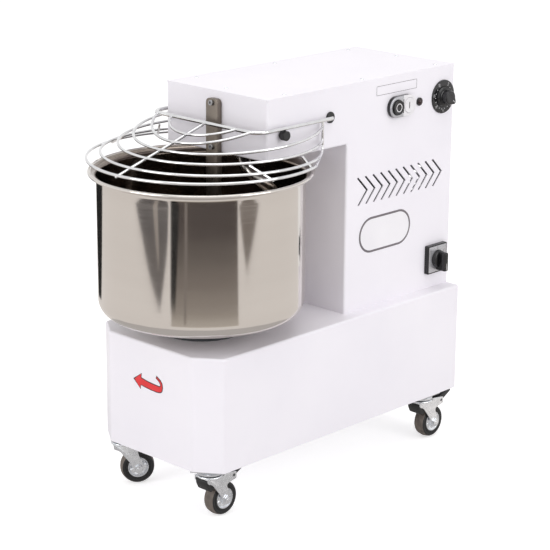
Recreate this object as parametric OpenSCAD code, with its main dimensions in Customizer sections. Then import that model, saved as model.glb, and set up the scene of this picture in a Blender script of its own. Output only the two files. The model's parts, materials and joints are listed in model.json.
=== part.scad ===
// Spiral dough mixer on casters: bowl and spiral turned by one vertical geared motor.
// Units are millimetres, +Z is up and the floor is at z = 0. The bowl's axis is x = 0.
// Local y values are measured from the bowl's axis, and in_frame() moves them to the part's frame.

/* [Base] */
// Width of the base
base_w = 300; // [250:1:360]
// Reach of the base in front of the bowl axis
base_front = 125; // [121:1:150]
// Height of the base box
base_h = 205; // [180:1:246]
// Width of each cut-off front corner
chamfer_x = 47; // [38:1:57]
// Depth of each cut-off front corner
chamfer_y = 33; // [26:1:40]
// Sheet thickness of the base
base_t = 3; // [2.5:0.1:3.6]

/* [Column and head] */
// Width of the column and the head
column_w = 245; // [240:1:250]
// Depth of the column
column_d = 293; // [285:1:352]
// Height of the head box
head_h = 107; // [100:1:128]
// Reach of the head's front face in front of the column
head_reach = 201; // [190:1:210]
// Sheet thickness of the column and the head
shell_t = 2; // [1.6:0.1:2.4]
// Thickness of the top cover
cover_t = 2.5; // [2:0.1:3]

/* [Bowl] */
// Outer diameter of the bowl's wall
bowl_d = 360; // [300:1:432]
// Height of the bowl
bowl_h = 256; // [214:1:307]
// Wall thickness of the bowl
bowl_wall = 1.6; // [1.3:0.1:2]
// Radius of the bowl's bottom corner
bowl_fillet = 28; // [22:1:34]
// How far the rolled rim stands out from the wall
rim_out = 15; // [12:1:18]
// Height of the bowl's underside above the base
bowl_lift = 32; // [28:1:38]

/* [Spiral and breaker bar] */
// Diameter of the spiral's rod
hook_rod = 20; // [16:1:22]
// Radius of the spiral's centre line
hook_orbit = 52; // [44:1:54]
// Width of the breaker bar
bar_w = 29; // [26:1:38]
// Thickness of the breaker bar
bar_t = 10; // [8:0.5:12]

/* [Guard] */
// Diameter of the guard's frame rod
frame_d = 7; // [6:0.5:8]
// Diameter of the guard's rings
wire_d = 5; // [4:0.5:6]
// Gap between the head's side and the guard's side bar
guard_gap = 5; // [4:0.5:7]

/* [Casters] */
// Height from the floor to the base
caster_h = 92; // [86:1:110]
// Diameter of a wheel
wheel_d = 62; // [52:1:66]
// Width of a tyre
tyre_w = 23; // [19:1:25]
// Distance from the swivel axis to the axle
trail = 25; // [22:1:28]

/* [Drive] */
// Pitch radius of the bowl's pulley
bowl_pulley_r = 108; // [90:1:110]
// Speed ratio from the drive shaft to the bowl
bowl_ratio = 6; // [5.4:0.1:6.2]
// Pitch radius of the spiral's pulley
spiral_pulley_r = 40; // [34:1:46]
// Speed ratio from the spiral to the drive shaft
spiral_ratio = 1.2; // [1.1:0.05:1.3]
// Diameter of the bowl's spindle
spindle_d = 40; // [34:1:44]

/* [Controls] */
// Diameter of the timer's dial
dial_d = 62; // [50:1:64]
// Length of the push-button unit
button_l = 70; // [64:1:84]
// Height of the push-button unit
button_h = 38; // [34:1:44]
// Side of the speed switch's square plate
switch_side = 54; // [46:1:60]

/* [Hidden] */
$fn = 64;

// Clearances
fit = 0.02;
run = 0.05;
gap = 0.3;

// Heights
base_top = caster_h + base_h;
bowl_z = base_top + bowl_lift;
rim_z = bowl_z + bowl_h;
head_z = rim_z + 23.5;
head_top = head_z + head_h;
cover_z = head_top - cover_t;

// Lengths along y from the bowl axis
bowl_r = bowl_d / 2;
rim_r = bowl_r + rim_out;
column_y = rim_r + 41;
back_y = column_y + column_d;
head_y = column_y - head_reach;
base_back = back_y + 1;
gland_l = 18;
gland_hex_l = 6;

// Half widths
half_w = column_w / 2;
inner_w = half_w - shell_t;
guard_x = half_w + guard_gap + frame_d / 2;

// Guard
pivot_y = column_y - 46;
pivot_z = head_z + 55.5;
front_bar_y = head_y - 30;
corner_r = 22;
pivot_r = 5;
wire_y = pivot_y - 28;
guard_rim_z = rim_z + 20;
guard_front = rim_r - 1;
rib_rise = pivot_z - guard_rim_z;
// Each ring: front reach as a share of the slope, and the height of its ends as a share of the rise
ring_front = [1, 0.86, 0.68, 0.52];
ring_end = [0, 0.12, 0.43, 0.8];
// Cam on each inner end of the frame rod: radius, width and distance inside the head's side
cam_r = 7;
cam_w = 6;
cam_in = 20;
// The two short rings on the front bar: front reach as a share of the slope, and half width
short_front = [0.37, 0.22];
short_x = [guard_x - corner_r + 4, guard_x - corner_r - 30];
// Side ribs from the third ring to the first: degrees round each ring from its front point
RIBS = [[61, 80], [96.5, 109.4]];

// Where the whole part's middle lies along y
front_y = -max(guard_front + wire_d / 2, rim_r);
y_shift = -(front_y + base_back + gland_l) / 2;

// Drive train: teeth, modules and heights
small_teeth = 18;
large_teeth = 72;
stage_ratio = large_teeth / small_teeth;
module_1 = 1.25;
module_2 = 1.75;
backlash = 0.3;
centre_1 = module_1 * (small_teeth + large_teeth) / 2;
centre_2 = module_2 * (small_teeth + large_teeth) / 2;
shaft_y = column_y + 86;
inter_y = shaft_y + centre_2;
motor_y = inter_y + centre_1;
box_wall = 6;
box_floor = 12;
box_inner = 48;
box_z = base_top;
box_top = box_z + box_floor + box_inner;
motor_z = box_top + box_floor;
stage_2_z = box_z + box_floor + 3;
stage_2_w = 20;
stage_1_z = stage_2_z + stage_2_w + 6;
stage_1_w = 14;
box_x = module_2 * large_teeth / 2 + module_2 + 2.25;
box_y0 = shaft_y - box_x;
box_y1 = motor_y + 20;

// Motor
motor_r = 62;
frame_r = 57;
frame_wall = 4;
rotor_r = 35;
air_gap = 0.6;
bell_h = 30;
top_bell_h = 15;
housing_h = 145;
cowl_h = 43;
rotor_shaft_r = 8.5;

// Shafts and bearings: inner radius, outer radius, width
spindle_r = spindle_d / 2;
bowl_brg = [spindle_r + run, spindle_r + 14, 15];
spiral_brg = [15 + run, 31, 16];
shaft_brg = [12.5 + run, 23.5, 12];
inter_brg = [7.5 + run, 17.5, 12];
motor_brg = [rotor_shaft_r + run, 20, 12];

// Belts: V section half width at the back, depth, and pitch line below the back
belt_half = 4.9;
belt_depth = 8;
belt_pitch = 3;
belt_slope = tan(19);
rim_w = 7.5;
lower_belt_z = base_top - 98;
drive_pulley_r = bowl_pulley_r / bowl_ratio;
upper_pulley_r = spiral_pulley_r * spiral_ratio;
upper_belt_z = head_top - 29;

// Bowl support
housing_r = spindle_r + 22;
housing_flange_r = spindle_r + 55;
housing_drop = 82;
spindle_flange_r = 62;
spindle_flange_h = 8;

// Spiral support
spiral_y = bowl_r - bowl_wall - hook_orbit - hook_rod / 2 - 10.5;
plate_z = head_z + 41;
plate_t = 6;
spiral_housing_r = 38;

// Controls on the right side
button_y = pivot_y + 186.5;
control_z = head_z + 49.5;
button_pitch = button_l - button_h;
button_r = button_h / 2 - 5.5;
button_travel = 4;
button_h_out = 9;
lamp_y = button_y + 53;
dial_y = back_y - dial_d / 2 - 2;
switch_y = back_y - 43;
switch_z = base_top + 56;
switch_t = 9;
stem_r = 4;

// Casters
wheel_r = wheel_d / 2;
plate_h = 2.5;
cup_h = 9;
cup_r = 23;
fork_gap = 14.5;
fork_t = 2.5;
crown_z = caster_h - plate_h - cup_h - gap;
arm_z = crown_z - 10;
pedal_y = trail + 17;
pedal_z = arm_z + 1;
axle_r = 4;
pedal_pin_r = 2.5;
front_caster = [base_w / 2 - 39, -base_front + 36];
rear_caster = [base_w / 2 - 25, base_back - 74];
// Each caster: x side, place and swivel angle
CASTERS = [
    [front_caster[0], front_caster[1], 0],
    [-front_caster[0], front_caster[1], -32],
    [rear_caster[0], rear_caster[1], 0],
    [-rear_caster[0], rear_caster[1], 20]
];

// ---------- helpers ----------

module in_frame() { translate([0, y_shift, 0]) children(); }

module at(y, z) { translate([0, y, z]) children(); }

// A ring of outer radius ro, bore ri and height h
module ring(ro, ri, h) {
    difference() {
        cylinder(r = ro, h = h);
        translate([0, 0, -1]) cylinder(r = ri, h = h + 2);
    }
}

// A round rod of radius r from a to b
module rod(a, b, r) {
    d = b - a;
    len = norm(d);
    translate(a) rotate([0, acos(d[2] / len), atan2(d[1], d[0])]) cylinder(r = r, h = len, $fn = 24);
}

// A right-hand side piece: its local z points out of the head's side, its local x points to the rear
module on_side(y, z) {
    translate([half_w, y, z]) rotate([90, 0, 90]) children();
}

// A sheet-metal screw with a low round head, standing on z = 0 with its shank down
module screw(head_r, shank_r, shank) {
    cylinder(r1 = head_r, r2 = head_r * 0.6, h = 1.6, $fn = 24);
    translate([0, 0, -shank]) cylinder(r = shank_r, h = shank, $fn = 24);
}

// Base plan with cut-off front corners, drawn inset by a sheet thickness
function base_plan(inset) =
    let (w = base_w / 2 - inset, f = -base_front + inset, b = base_back - inset, c = inset * 0.45)
    [
        [-w + chamfer_x - c, f], [w - chamfer_x + c, f], [w, f + chamfer_y - c],
        [w, b], [-w, b], [-w, f + chamfer_y - c]
    ];

// Involute gear outline: involute angle, and half the tooth's angle at radius r
function inv(a) = tan(a) * 180 / PI - a;
function half_tooth(n, m, r) =
    let (rb = n * m / 2 * cos(20))
    90 / n - backlash / (n * m) * 180 / PI + inv(20) - inv(acos(min(1, rb / max(r, rb))));
function polar(r, a) = [r * cos(a), r * sin(a)];
function gear_points(n, m) =
    let (
        rp = n * m / 2, ra = rp + m, rf = rp - 1.25 * m, r0 = max(rf, rp * cos(20)),
        radii = concat(r0 > rf ? [rf] : [], [for (k = [0:3]) r0 + (ra - r0) * k / 3])
    )
    [
        for (i = [0:n - 1]) each concat(
            [for (r = radii) polar(r, 360 * i / n - half_tooth(n, m, r))],
            [for (k = [len(radii) - 1:-1:0]) polar(radii[k], 360 * i / n + half_tooth(n, m, radii[k]))]
        )
    ];

module gear(n, m, w, bore) {
    difference() {
        linear_extrude(w) polygon(gear_points(n, m));
        if (bore > 0) translate([0, 0, -1]) cylinder(r = bore, h = w + 2);
    }
}

// V-belt section in (radius, height), its back at radius r, grown by g on the flanks and at the root
function belt_section(r, g) = [
    [r, -belt_half - g], [r, belt_half + g],
    [r - belt_depth - g, belt_half + g - (belt_depth + g) * belt_slope],
    [r - belt_depth - g, -belt_half - g + (belt_depth + g) * belt_slope]
];

// A grooved pulley centred on z = 0 with pitch radius rp
module pulley(rp, bore) {
    rim = rp + belt_pitch + 0.5;
    groove = belt_section(rp + belt_pitch, gap);
    lip = belt_half + gap + 0.5 * belt_slope;
    rotate_extrude($fn = 96) polygon([
        [bore, -rim_w], [rim, -rim_w], [rim, -lip], groove[3], groove[2], [rim, lip], [rim, rim_w],
        [bore, rim_w]
    ]);
}

// Where a belt runs: for each ring [centre x, pitch radius, angle], round the large pulley on the
// origin and then round the small one at distance d along x
function belt_run(r_large, r_small, d) =
    let (a = acos((r_large - r_small) / d), n = 40)
    concat(
        [for (i = [0:n]) [0, r_large, a + (360 - 2 * a) * i / n]],
        [for (i = [0:n]) [d, r_small, -a + 2 * a * i / n]]
    );

// A V-belt round a large pulley on the local origin and a small one at distance d along +y
module belt(r_large, r_small, d) {
    rings = belt_run(r_large, r_small, d);
    n = len(rings);
    rotate([0, 0, 90]) polyhedron(
        points = [for (q = rings, p = belt_section(q[1] + belt_pitch, 0))
            [q[0] + p[0] * cos(q[2]), p[0] * sin(q[2]), p[1]]],
        faces = [for (i = [0:n - 1], k = [0:3]) [
            i * 4 + k, i * 4 + (k + 1) % 4, (i + 1) % n * 4 + (k + 1) % 4, (i + 1) % n * 4 + k
        ]]
    );
}

// ---------- base ----------

module base_shell() {
    color("whitesmoke") in_frame() difference() {
        at(0, caster_h) linear_extrude(base_h) polygon(base_plan(0));
        at(0, caster_h - 1) linear_extrude(base_h - base_t + 1) polygon(base_plan(base_t));
        at(0, base_top - base_t - 1) cylinder(r = housing_r + gap, h = base_t + 2);
        at(shaft_y, base_top - base_t - 1) cylinder(r = shaft_brg[1], h = base_t + 2);
        translate([-base_w / 2 + 45, base_back + 1, caster_h + 60]) rotate([90, 0, 0])
            cylinder(r = 8 + fit, h = base_t + 2);
    }
}

module base_bottom_plate() {
    color("gainsboro") in_frame() difference() {
        at(0, caster_h) linear_extrude(base_t) polygon(base_plan(base_t + fit));
        for (p = bottom_screws()) translate([p[0], p[1], caster_h]) {
            translate([0, 0, -1]) cylinder(r = 2 + fit, h = base_t + 2, $fn = 24);
            translate([0, 0, -0.01]) cylinder(r1 = 4 + fit, r2 = 2 + fit, h = 2, $fn = 24);
        }
    }
}

function bottom_screws() = [
    for (x = [-1, 1], y = [-base_front + 70, (base_back - base_front) / 2, base_back - 20])
        [x * (base_w / 2 - 15), y]
];

module caster_plates() {
    color("silver") in_frame() for (k = [0:3]) {
        c = CASTERS[k];
        turn = k < 2 ? sign(c[0]) * atan2(chamfer_y, chamfer_x) : 90;
        translate([c[0], c[1], caster_h - plate_h]) {
            rotate([0, 0, turn]) translate([-cup_r - 7, -cup_r, 0])
                cube([2 * cup_r + 14, 2 * cup_r, plate_h]);
            translate([0, 0, -cup_h]) rotate_extrude() polygon([
                [0, 0], [cup_r - 5, 0], [cup_r, 3], [cup_r, 6], [cup_r - 3, cup_h], [0, cup_h]
            ]);
        }
    }
}

// ---------- column and head ----------

// One chevron slot, pointing to the rear, in the side plane (y, z)
module chevron() {
    arm = 25;
    w = 4.4;
    polygon([
        [-arm, arm], [0, 0], [-arm + 3, -arm], [-arm + 3 + w, -arm - w * 0.2],
        [w * 1.3, 0], [-arm + w, arm + w * 0.3]
    ]);
}

module vents() {
    first = column_y + 53;
    pitch = 20.7;
    at(0, head_z - 91) rotate([90, 0, 90]) translate([0, 0, -half_w - 1])
        linear_extrude(column_w + 2) for (i = [0:10]) translate([first + i * pitch, 0]) chevron();
}

module column_shell() {
    panel_h = head_z - base_top - 70;
    color("whitesmoke") in_frame() difference() {
        translate([-half_w, column_y, base_top]) cube([column_w, column_d, head_z - base_top]);
        translate([-inner_w, column_y + shell_t, base_top - 1])
            cube([2 * inner_w, column_d - 2 * shell_t, head_z - base_top + 2]);
        translate([-90, back_y - shell_t - 1, base_top + 35]) cube([180, shell_t + 2, panel_h]);
        vents();
        on_side(switch_y, switch_z) translate([0, 0, -shell_t - 1]) cylinder(r = 6, h = shell_t + 2);
    }
}

module head_shell() {
    color("whitesmoke") in_frame() difference() {
        translate([-half_w, head_y, head_z]) cube([column_w, head_reach + column_d, cover_z - head_z]);
        translate([-inner_w, head_y + shell_t, head_z + shell_t])
            cube([2 * inner_w, head_reach + column_d - 2 * shell_t, head_h]);
        translate([-inner_w, column_y + shell_t, head_z - 1])
            cube([2 * inner_w, column_d - 2 * shell_t, head_h]);
        at(spiral_y, head_z - 1) cylinder(r = spiral_housing_r + gap, h = shell_t + 2);
        for (s = [-1, 1]) translate([s * half_w, pivot_y, pivot_z]) rotate([0, 90, 0])
            translate([0, 0, -shell_t - 1]) cylinder(r = 7 + fit, h = 2 * shell_t + 2);
        for (s = [-1, 1]) on_side(button_y + s * button_pitch / 2, control_z)
            translate([0, 0, -shell_t - 1]) cylinder(r = stem_r + 1, h = shell_t + 2);
        on_side(lamp_y, control_z) translate([0, 0, -shell_t - 1])
            cylinder(r = 5 + fit, h = shell_t + 2);
        on_side(dial_y, control_z) translate([0, 0, -shell_t - 1])
            cylinder(r = 5, h = shell_t + 2);
        for (z = [head_top - 20, head_z + 10]) translate([0, head_y - 1, z]) rotate([-90, 0, 0])
            cylinder(r = 3 + fit, h = shell_t + 2);
    }
}

function cover_screws() = concat(
    [for (x = [-1, 1], y = [head_y + 57, head_y + 255, back_y - 38]) [x * (half_w - 16), y]],
    [[0, head_y + 25], [0, back_y - 22]]
);

module top_cover() {
    color("white") in_frame() difference() {
        translate([-half_w, head_y, cover_z]) cube([column_w, head_reach + column_d, cover_t]);
        for (p = cover_screws()) translate([p[0], p[1], cover_z - 1])
            cylinder(r = 2 + fit, h = cover_t + 2);
    }
}

function panel_points() = [
    for (x = [-1, 1], z = [base_top + 30, (base_top + head_z) / 2, head_z - 30]) [x * 95, z]
];

module rear_panel() {
    color("white") in_frame() difference() {
        translate([-101, back_y, base_top + 22]) cube([202, 1.5, head_z - base_top - 44]);
        for (p = panel_points()) translate([p[0], back_y - 1, p[1]]) rotate([-90, 0, 0])
            cylinder(r = 2 + fit, h = 4);
        for (i = [0:7]) translate([-50, back_y - 1, head_z - 90 - i * 12]) cube([100, 4, 4]);
    }
}

module panel_screws() {
    color("silver") in_frame() {
        for (p = cover_screws()) translate([p[0], p[1], head_top]) screw(4, 2, cover_t);
        for (p = panel_points()) translate([p[0], back_y + 1.5, p[1]]) rotate([-90, 0, 0])
            screw(4, 2, 1.5);
        for (p = bottom_screws()) translate([p[0], p[1], caster_h]) {
            cylinder(r1 = 4, r2 = 2, h = 2, $fn = 24);
            cylinder(r = 2, h = base_t, $fn = 24);
        }
    }
}

// ---------- bowl and its bearing ----------

module bowl_bearing_housing() {
    color("slategray") in_frame() at(0, base_top) difference() {
        union() {
            cylinder(r = housing_flange_r, h = 8);
            translate([0, 0, -housing_drop]) cylinder(r = housing_r, h = housing_drop + 8);
        }
        translate([0, 0, -housing_drop - 1]) cylinder(r = bowl_brg[1] + fit, h = housing_drop + 5);
        translate([0, 0, -1]) cylinder(r = spindle_r + 1, h = 12);
    }
}

// Outer ring, inner ring and balls of one bearing, standing on z = 0
module ball_bearing(b) {
    mid = (b[0] + b[1]) / 2;
    ball = (b[1] - b[0]) * 0.28;
    difference() {
        union() {
            ring(b[1], b[1] - (b[1] - b[0]) * 0.3, b[2]);
            ring(b[0] + (b[1] - b[0]) * 0.3, b[0], b[2]);
        }
        translate([0, 0, b[2] / 2]) rotate_extrude() translate([mid, 0]) circle(r = ball);
    }
    n = 9;
    for (i = [0:n - 1]) rotate([0, 0, 360 * i / n]) translate([mid, 0, b[2] / 2])
        sphere(r = ball - fit, $fn = 24);
}

module ball_bearings() {
    color("lightsteelblue") in_frame() {
        at(0, base_top - bowl_brg[2] + 4 - fit) ball_bearing(bowl_brg);
        at(0, base_top - housing_drop + 2) ball_bearing(bowl_brg);
        at(spiral_y, head_z - 5) ball_bearing(spiral_brg);
        at(spiral_y, plate_z + plate_t - 6) ball_bearing(spiral_brg);
        at(shaft_y, box_z) ball_bearing(shaft_brg);
        at(shaft_y, box_top) ball_bearing(shaft_brg);
        at(shaft_y, plate_z) ball_bearing(shaft_brg);
        at(inter_y, box_z) ball_bearing(inter_brg);
        at(inter_y, box_top) ball_bearing(inter_brg);
        at(motor_y, motor_z) ball_bearing(motor_brg);
        at(motor_y, motor_z + bell_h + housing_h) ball_bearing(motor_brg);
    }
}

// Bowl profile, from the outside bottom round the corner, up to the rolled rim and back down inside
function arc(cx, cz, r, a0, a1, n) = [
    for (i = [0:n]) let (a = a0 + (a1 - a0) * i / n) [cx + r * cos(a), cz + r * sin(a)]
];

module bowl() {
    curl = 3.2;
    flare = rim_out - curl;
    color("silver") in_frame() at(0, bowl_z) rotate_extrude($fn = 128) polygon(concat(
        [[0, 0]],
        arc(bowl_r - bowl_fillet, bowl_fillet, bowl_fillet, -90, 0, 10),
        [[bowl_r, bowl_h - flare - curl]],
        arc(bowl_r + flare, bowl_h - flare - curl, flare, 170, 100, 5),
        arc(bowl_r + flare, bowl_h - curl, curl, -80, 95, 8),
        arc(bowl_r + flare, bowl_h - flare - curl, flare + bowl_wall, 95, 175, 6),
        [[bowl_r - bowl_wall, bowl_h - flare - curl]],
        arc(bowl_r - bowl_fillet, bowl_fillet, bowl_fillet - bowl_wall, 0, -90, 10),
        [[0, bowl_wall]]
    ));
}

module bowl_spindle() {
    color("gray") in_frame() {
        at(0, bowl_z - spindle_flange_h) cylinder(r = spindle_flange_r, h = spindle_flange_h);
        at(0, lower_belt_z - rim_w - 10)
            cylinder(r = spindle_r, h = bowl_z - lower_belt_z + rim_w + 10 - spindle_flange_h);
    }
}

module bowl_pulley() {
    color("dimgray") in_frame() at(0, lower_belt_z) pulley(bowl_pulley_r, spindle_r + fit);
}

module bowl_belt() {
    color("black") in_frame() at(0, lower_belt_z) belt(bowl_pulley_r, drive_pulley_r, shaft_y);
}

// ---------- drive train ----------

module drive_shaft() {
    color("gray") in_frame() {
        at(shaft_y, lower_belt_z - rim_w - 5) cylinder(r = 10, h = box_z - lower_belt_z + rim_w + 5);
        at(shaft_y, box_z) cylinder(r = shaft_brg[0] - run, h = upper_belt_z + rim_w + 5 - box_z);
    }
}

module lower_drive_pulley() {
    color("dimgray") in_frame() at(shaft_y, lower_belt_z) pulley(drive_pulley_r, 10 + fit);
}

module upper_drive_pulley() {
    color("dimgray") in_frame() at(shaft_y, upper_belt_z)
        pulley(upper_pulley_r, shaft_brg[0] - run + fit);
}

module gearbox_housing() {
    color("steelblue") in_frame() difference() {
        translate([-box_x - box_wall, box_y0 - box_wall, box_z])
            cube([2 * (box_x + box_wall), box_y1 - box_y0 + 2 * box_wall, box_top - box_z]);
        translate([-box_x, box_y0, box_z + box_floor])
            cube([2 * box_x, box_y1 - box_y0, box_inner + 1]);
        at(shaft_y, box_z - 1) cylinder(r = shaft_brg[1] + fit, h = box_floor + 2);
        at(inter_y, box_z - 1) cylinder(r = inter_brg[1] + fit, h = box_floor + 2);
    }
}

module gearbox_cover() {
    color("lightsteelblue") in_frame() difference() {
        translate([-box_x - box_wall, box_y0 - box_wall, box_top])
            cube([2 * (box_x + box_wall), box_y1 - box_y0 + 2 * box_wall, box_floor]);
        at(shaft_y, box_top - 1) cylinder(r = shaft_brg[1] + fit, h = box_floor + 2);
        at(inter_y, box_top - 1) cylinder(r = inter_brg[1] + fit, h = box_floor + 2);
        at(motor_y, box_top - 1)
            cylinder(r = module_1 * small_teeth / 2 + module_1 + 1, h = box_floor + 2);
    }
}

module output_gear() {
    color("gray") in_frame() at(shaft_y, stage_2_z)
        gear(large_teeth, module_2, stage_2_w, shaft_brg[0] - run + fit);
}

module intermediate_shaft() {
    color("gray") in_frame() {
        at(inter_y, box_z) cylinder(r = inter_brg[0] - run, h = box_top + box_floor - box_z);
        at(inter_y, stage_2_z) gear(small_teeth, module_2, stage_2_w + 3, 0);
    }
}

module intermediate_gear() {
    color("darkgray") in_frame() at(inter_y, stage_1_z)
        gear(large_teeth, module_1, stage_1_w, inter_brg[0] - run + fit);
}

module motor_housing() {
    fins = 24;
    color("steelblue") in_frame() at(motor_y, motor_z + bell_h) difference() {
        union() {
            cylinder(r = frame_r, h = housing_h);
            for (i = [0:fins - 1]) rotate([0, 0, 360 * i / fins])
                translate([frame_r - 1, -1.5, 0]) cube([motor_r - frame_r + 1, 3, housing_h]);
        }
        translate([0, 0, -1]) cylinder(r = frame_r - frame_wall, h = housing_h + 2);
    }
}

module motor_stator() {
    color("goldenrod") in_frame() at(motor_y, motor_z + bell_h + 15)
        ring(frame_r - frame_wall - fit, rotor_r + air_gap, housing_h - 30);
}

module motor_end_bells() {
    color("steelblue") in_frame() at(motor_y, motor_z) {
        difference() {
            cylinder(r = motor_r, h = bell_h);
            translate([0, 0, motor_brg[2]]) cylinder(r = frame_r - frame_wall, h = bell_h);
            translate([0, 0, -1]) cylinder(r = motor_brg[1] + fit, h = bell_h);
        }
        translate([0, 0, bell_h + housing_h]) ring(motor_r, motor_brg[1] + fit, top_bell_h);
    }
}

module motor_rotor() {
    pinion_h = stage_1_w + 4;
    color("silver") in_frame() {
        at(motor_y, stage_1_z - 2) gear(small_teeth, module_1, pinion_h, 0);
        at(motor_y, stage_1_z - 2)
            cylinder(r = rotor_shaft_r, h = motor_z + bell_h + housing_h + top_bell_h + 30 - stage_1_z);
        at(motor_y, motor_z + bell_h + 15) cylinder(r = rotor_r, h = housing_h - 30);
    }
}

module motor_fan() {
    hub_r = 18;
    fan_r = 50;
    fan_h = 16;
    disc_t = 2;
    blade_in = hub_r - 3;
    color("black") in_frame() at(motor_y, motor_z + bell_h + housing_h + top_bell_h + 6) {
        rotate_extrude() polygon([
            [rotor_shaft_r + fit, 0], [fan_r, 0], [fan_r, disc_t], [hub_r, disc_t],
            [hub_r, fan_h], [rotor_shaft_r + fit, fan_h]
        ]);
        for (i = [0:6]) rotate([0, 0, 360 * i / 7 + 13])
            translate([blade_in, -1.5, disc_t / 2]) cube([fan_r - 2 - blade_in, 3, fan_h - 3]);
    }
}

module motor_fan_cowl() {
    color("dimgray") in_frame() at(motor_y, motor_z + bell_h + housing_h + top_bell_h) difference() {
        cylinder(r = motor_r, h = cowl_h);
        translate([0, 0, -1]) cylinder(r = motor_r - 2, h = cowl_h - 1);
        for (i = [0:7]) rotate([0, 0, 45 * i]) translate([15, -3, cowl_h - 3]) cube([35, 6, 4]);
    }
}

// ---------- head mechanism ----------

module head_plate() {
    boss_r = shaft_brg[1] + 7;
    color("gray") in_frame() difference() {
        union() {
            translate([-inner_w + gap, head_y + 25, plate_z])
                cube([2 * (inner_w - gap), shaft_y + 32 - head_y - 25, plate_t]);
            at(shaft_y, plate_z) cylinder(r = boss_r, h = shaft_brg[2]);
        }
        at(shaft_y, plate_z - 1) cylinder(r = shaft_brg[1] + fit, h = 20);
        at(spiral_y, plate_z - 1) cylinder(r = spiral_housing_r + fit, h = 20);
    }
}

module spiral_bearing_housing() {
    bottom = head_z - 9;
    top = plate_z + plate_t;
    color("slategray") in_frame() difference() {
        union() {
            at(spiral_y, bottom) cylinder(r = spiral_housing_r, h = top - bottom + 10);
            at(spiral_y, top) cylinder(r = spiral_housing_r + 16, h = 8);
        }
        at(spiral_y, bottom + 4) cylinder(r = spiral_brg[1] + fit, h = 200);
        at(spiral_y, bottom - 1) cylinder(r = spiral_brg[0] - run + 0.8, h = 200);
    }
}

// The spiral's path: down the axis, out to the orbit, round and down, and back under the axis
hook_top = head_z - 16;
hook_end = bowl_z + bowl_wall + hook_rod / 2 + 5;
hook_turns = 1.25;
hook_steps = 56;
hook_sides = 12;
// Share of the path spent coming out to the orbit, and again coming back under the axis
hook_bend = 0.2;
// Share of the path at which the rod has reached its lowest height, and how early it falls
hook_low = 0.85;
hook_lead = 0.15;
hook_start = -60;
function hook_drop(t) =
    let (s = min(1, t / hook_low))
    s * (2 - s) * hook_lead + s * (1 - hook_lead);
function hook_point(t) =
    let (
        out = sin(90 * min(1, t / hook_bend)),
        back = cos(90 * max(0, t - 1 + hook_bend) / hook_bend),
        r = hook_orbit * out * back,
        a = 360 * hook_turns * t + hook_start
    )
    [r * cos(a), r * sin(a), hook_top + (hook_end - hook_top) * hook_drop(t)];
function unit(v) = v / norm(v);
// Rings of points across the path, each turned to face along it. The path never runs along aside.
aside = [0.31, 0.95, 0.02];
function hook_ring(t) =
    let (
        d = unit(hook_point(min(1, t + 0.01)) - hook_point(max(0, t - 0.01))),
        u = unit(cross(d, aside)), v = cross(d, u)
    )
    [
        for (k = [0:hook_sides - 1]) let (a = 360 * k / hook_sides)
            hook_point(t) + hook_rod / 2 * (u * cos(a) + v * sin(a))
    ];

module hook_rod_body() {
    n = hook_sides;
    polyhedron(
        points = [for (i = [0:hook_steps]) each hook_ring(i / hook_steps)],
        faces = concat(
            [[for (k = [0:n - 1]) k]],
            [for (i = [0:hook_steps - 1], k = [0:n - 1])
                [i * n + k, (i + 1) * n + k, (i + 1) * n + (k + 1) % n, i * n + (k + 1) % n]],
            [[for (k = [n - 1:-1:0]) hook_steps * n + k]]
        )
    );
}

module spiral_hook() {
    color("silver") in_frame() at(spiral_y, 0) {
        hook_rod_body();
        shank_z = hook_top - 8;
        translate([0, 0, shank_z])
            cylinder(r = spiral_brg[0] - run, h = upper_belt_z + rim_w + 4 - shank_z);
    }
}

module spiral_pulley() {
    color("dimgray") in_frame() at(spiral_y, upper_belt_z)
        pulley(spiral_pulley_r, spiral_brg[0] - run + fit);
}

module spiral_belt() {
    color("black") in_frame() at(shaft_y, upper_belt_z) rotate([0, 0, 180])
        belt(upper_pulley_r, spiral_pulley_r, shaft_y - spiral_y);
}

module breaker_bar() {
    bar_z = bowl_z + 22;
    color("silver") in_frame() difference() {
        translate([-bar_w / 2, head_y - bar_t, bar_z]) cube([bar_w, bar_t, head_top - 13 - bar_z]);
        for (z = [head_top - 20, head_z + 10]) translate([0, head_y - bar_t - 1, z]) rotate([-90, 0, 0])
            cylinder(r = 3 + fit, h = bar_t + 2);
    }
}

module breaker_bar_screws() {
    color("dimgray") in_frame() for (z = [head_top - 20, head_z + 10])
        translate([0, head_y - bar_t, z]) rotate([90, 0, 0]) {
            difference() {
                cylinder(r = 5, h = 4, $fn = 32);
                translate([0, 0, 2]) cylinder(r = 2.5, h = 3, $fn = 6);
            }
            translate([0, 0, -bar_t - shell_t]) cylinder(r = 3, h = bar_t + shell_t, $fn = 32);
        }
}

// ---------- guard ----------

// A quarter bend of the frame rod about the local z axis, from +x to +y
module bend(r, wire) {
    rotate_extrude(angle = 90, $fn = 48) translate([r, 0]) circle(r = wire / 2, $fn = 24);
}

module guard_frame() {
    r = frame_d / 2;
    color("silver") in_frame() at(0, pivot_z) {
        rod([-guard_x + corner_r, front_bar_y, 0], [guard_x - corner_r, front_bar_y, 0], r);
        for (s = [0, 1]) mirror([s, 0, 0]) {
            rod([guard_x, front_bar_y + corner_r, 0], [guard_x, pivot_y - pivot_r, 0], r);
            translate([guard_x - corner_r, front_bar_y + corner_r, 0]) rotate([0, 0, -90])
                bend(corner_r, frame_d);
            translate([guard_x - pivot_r, pivot_y - pivot_r, 0]) bend(pivot_r, frame_d);
            rod([guard_x - pivot_r, pivot_y, 0], [half_w - cam_in, pivot_y, 0], r);
            translate([half_w - cam_in, pivot_y, 0]) rotate([0, -90, 0]) cylinder(r = cam_r - 1, h = cam_w);
        }
    }
}

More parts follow.
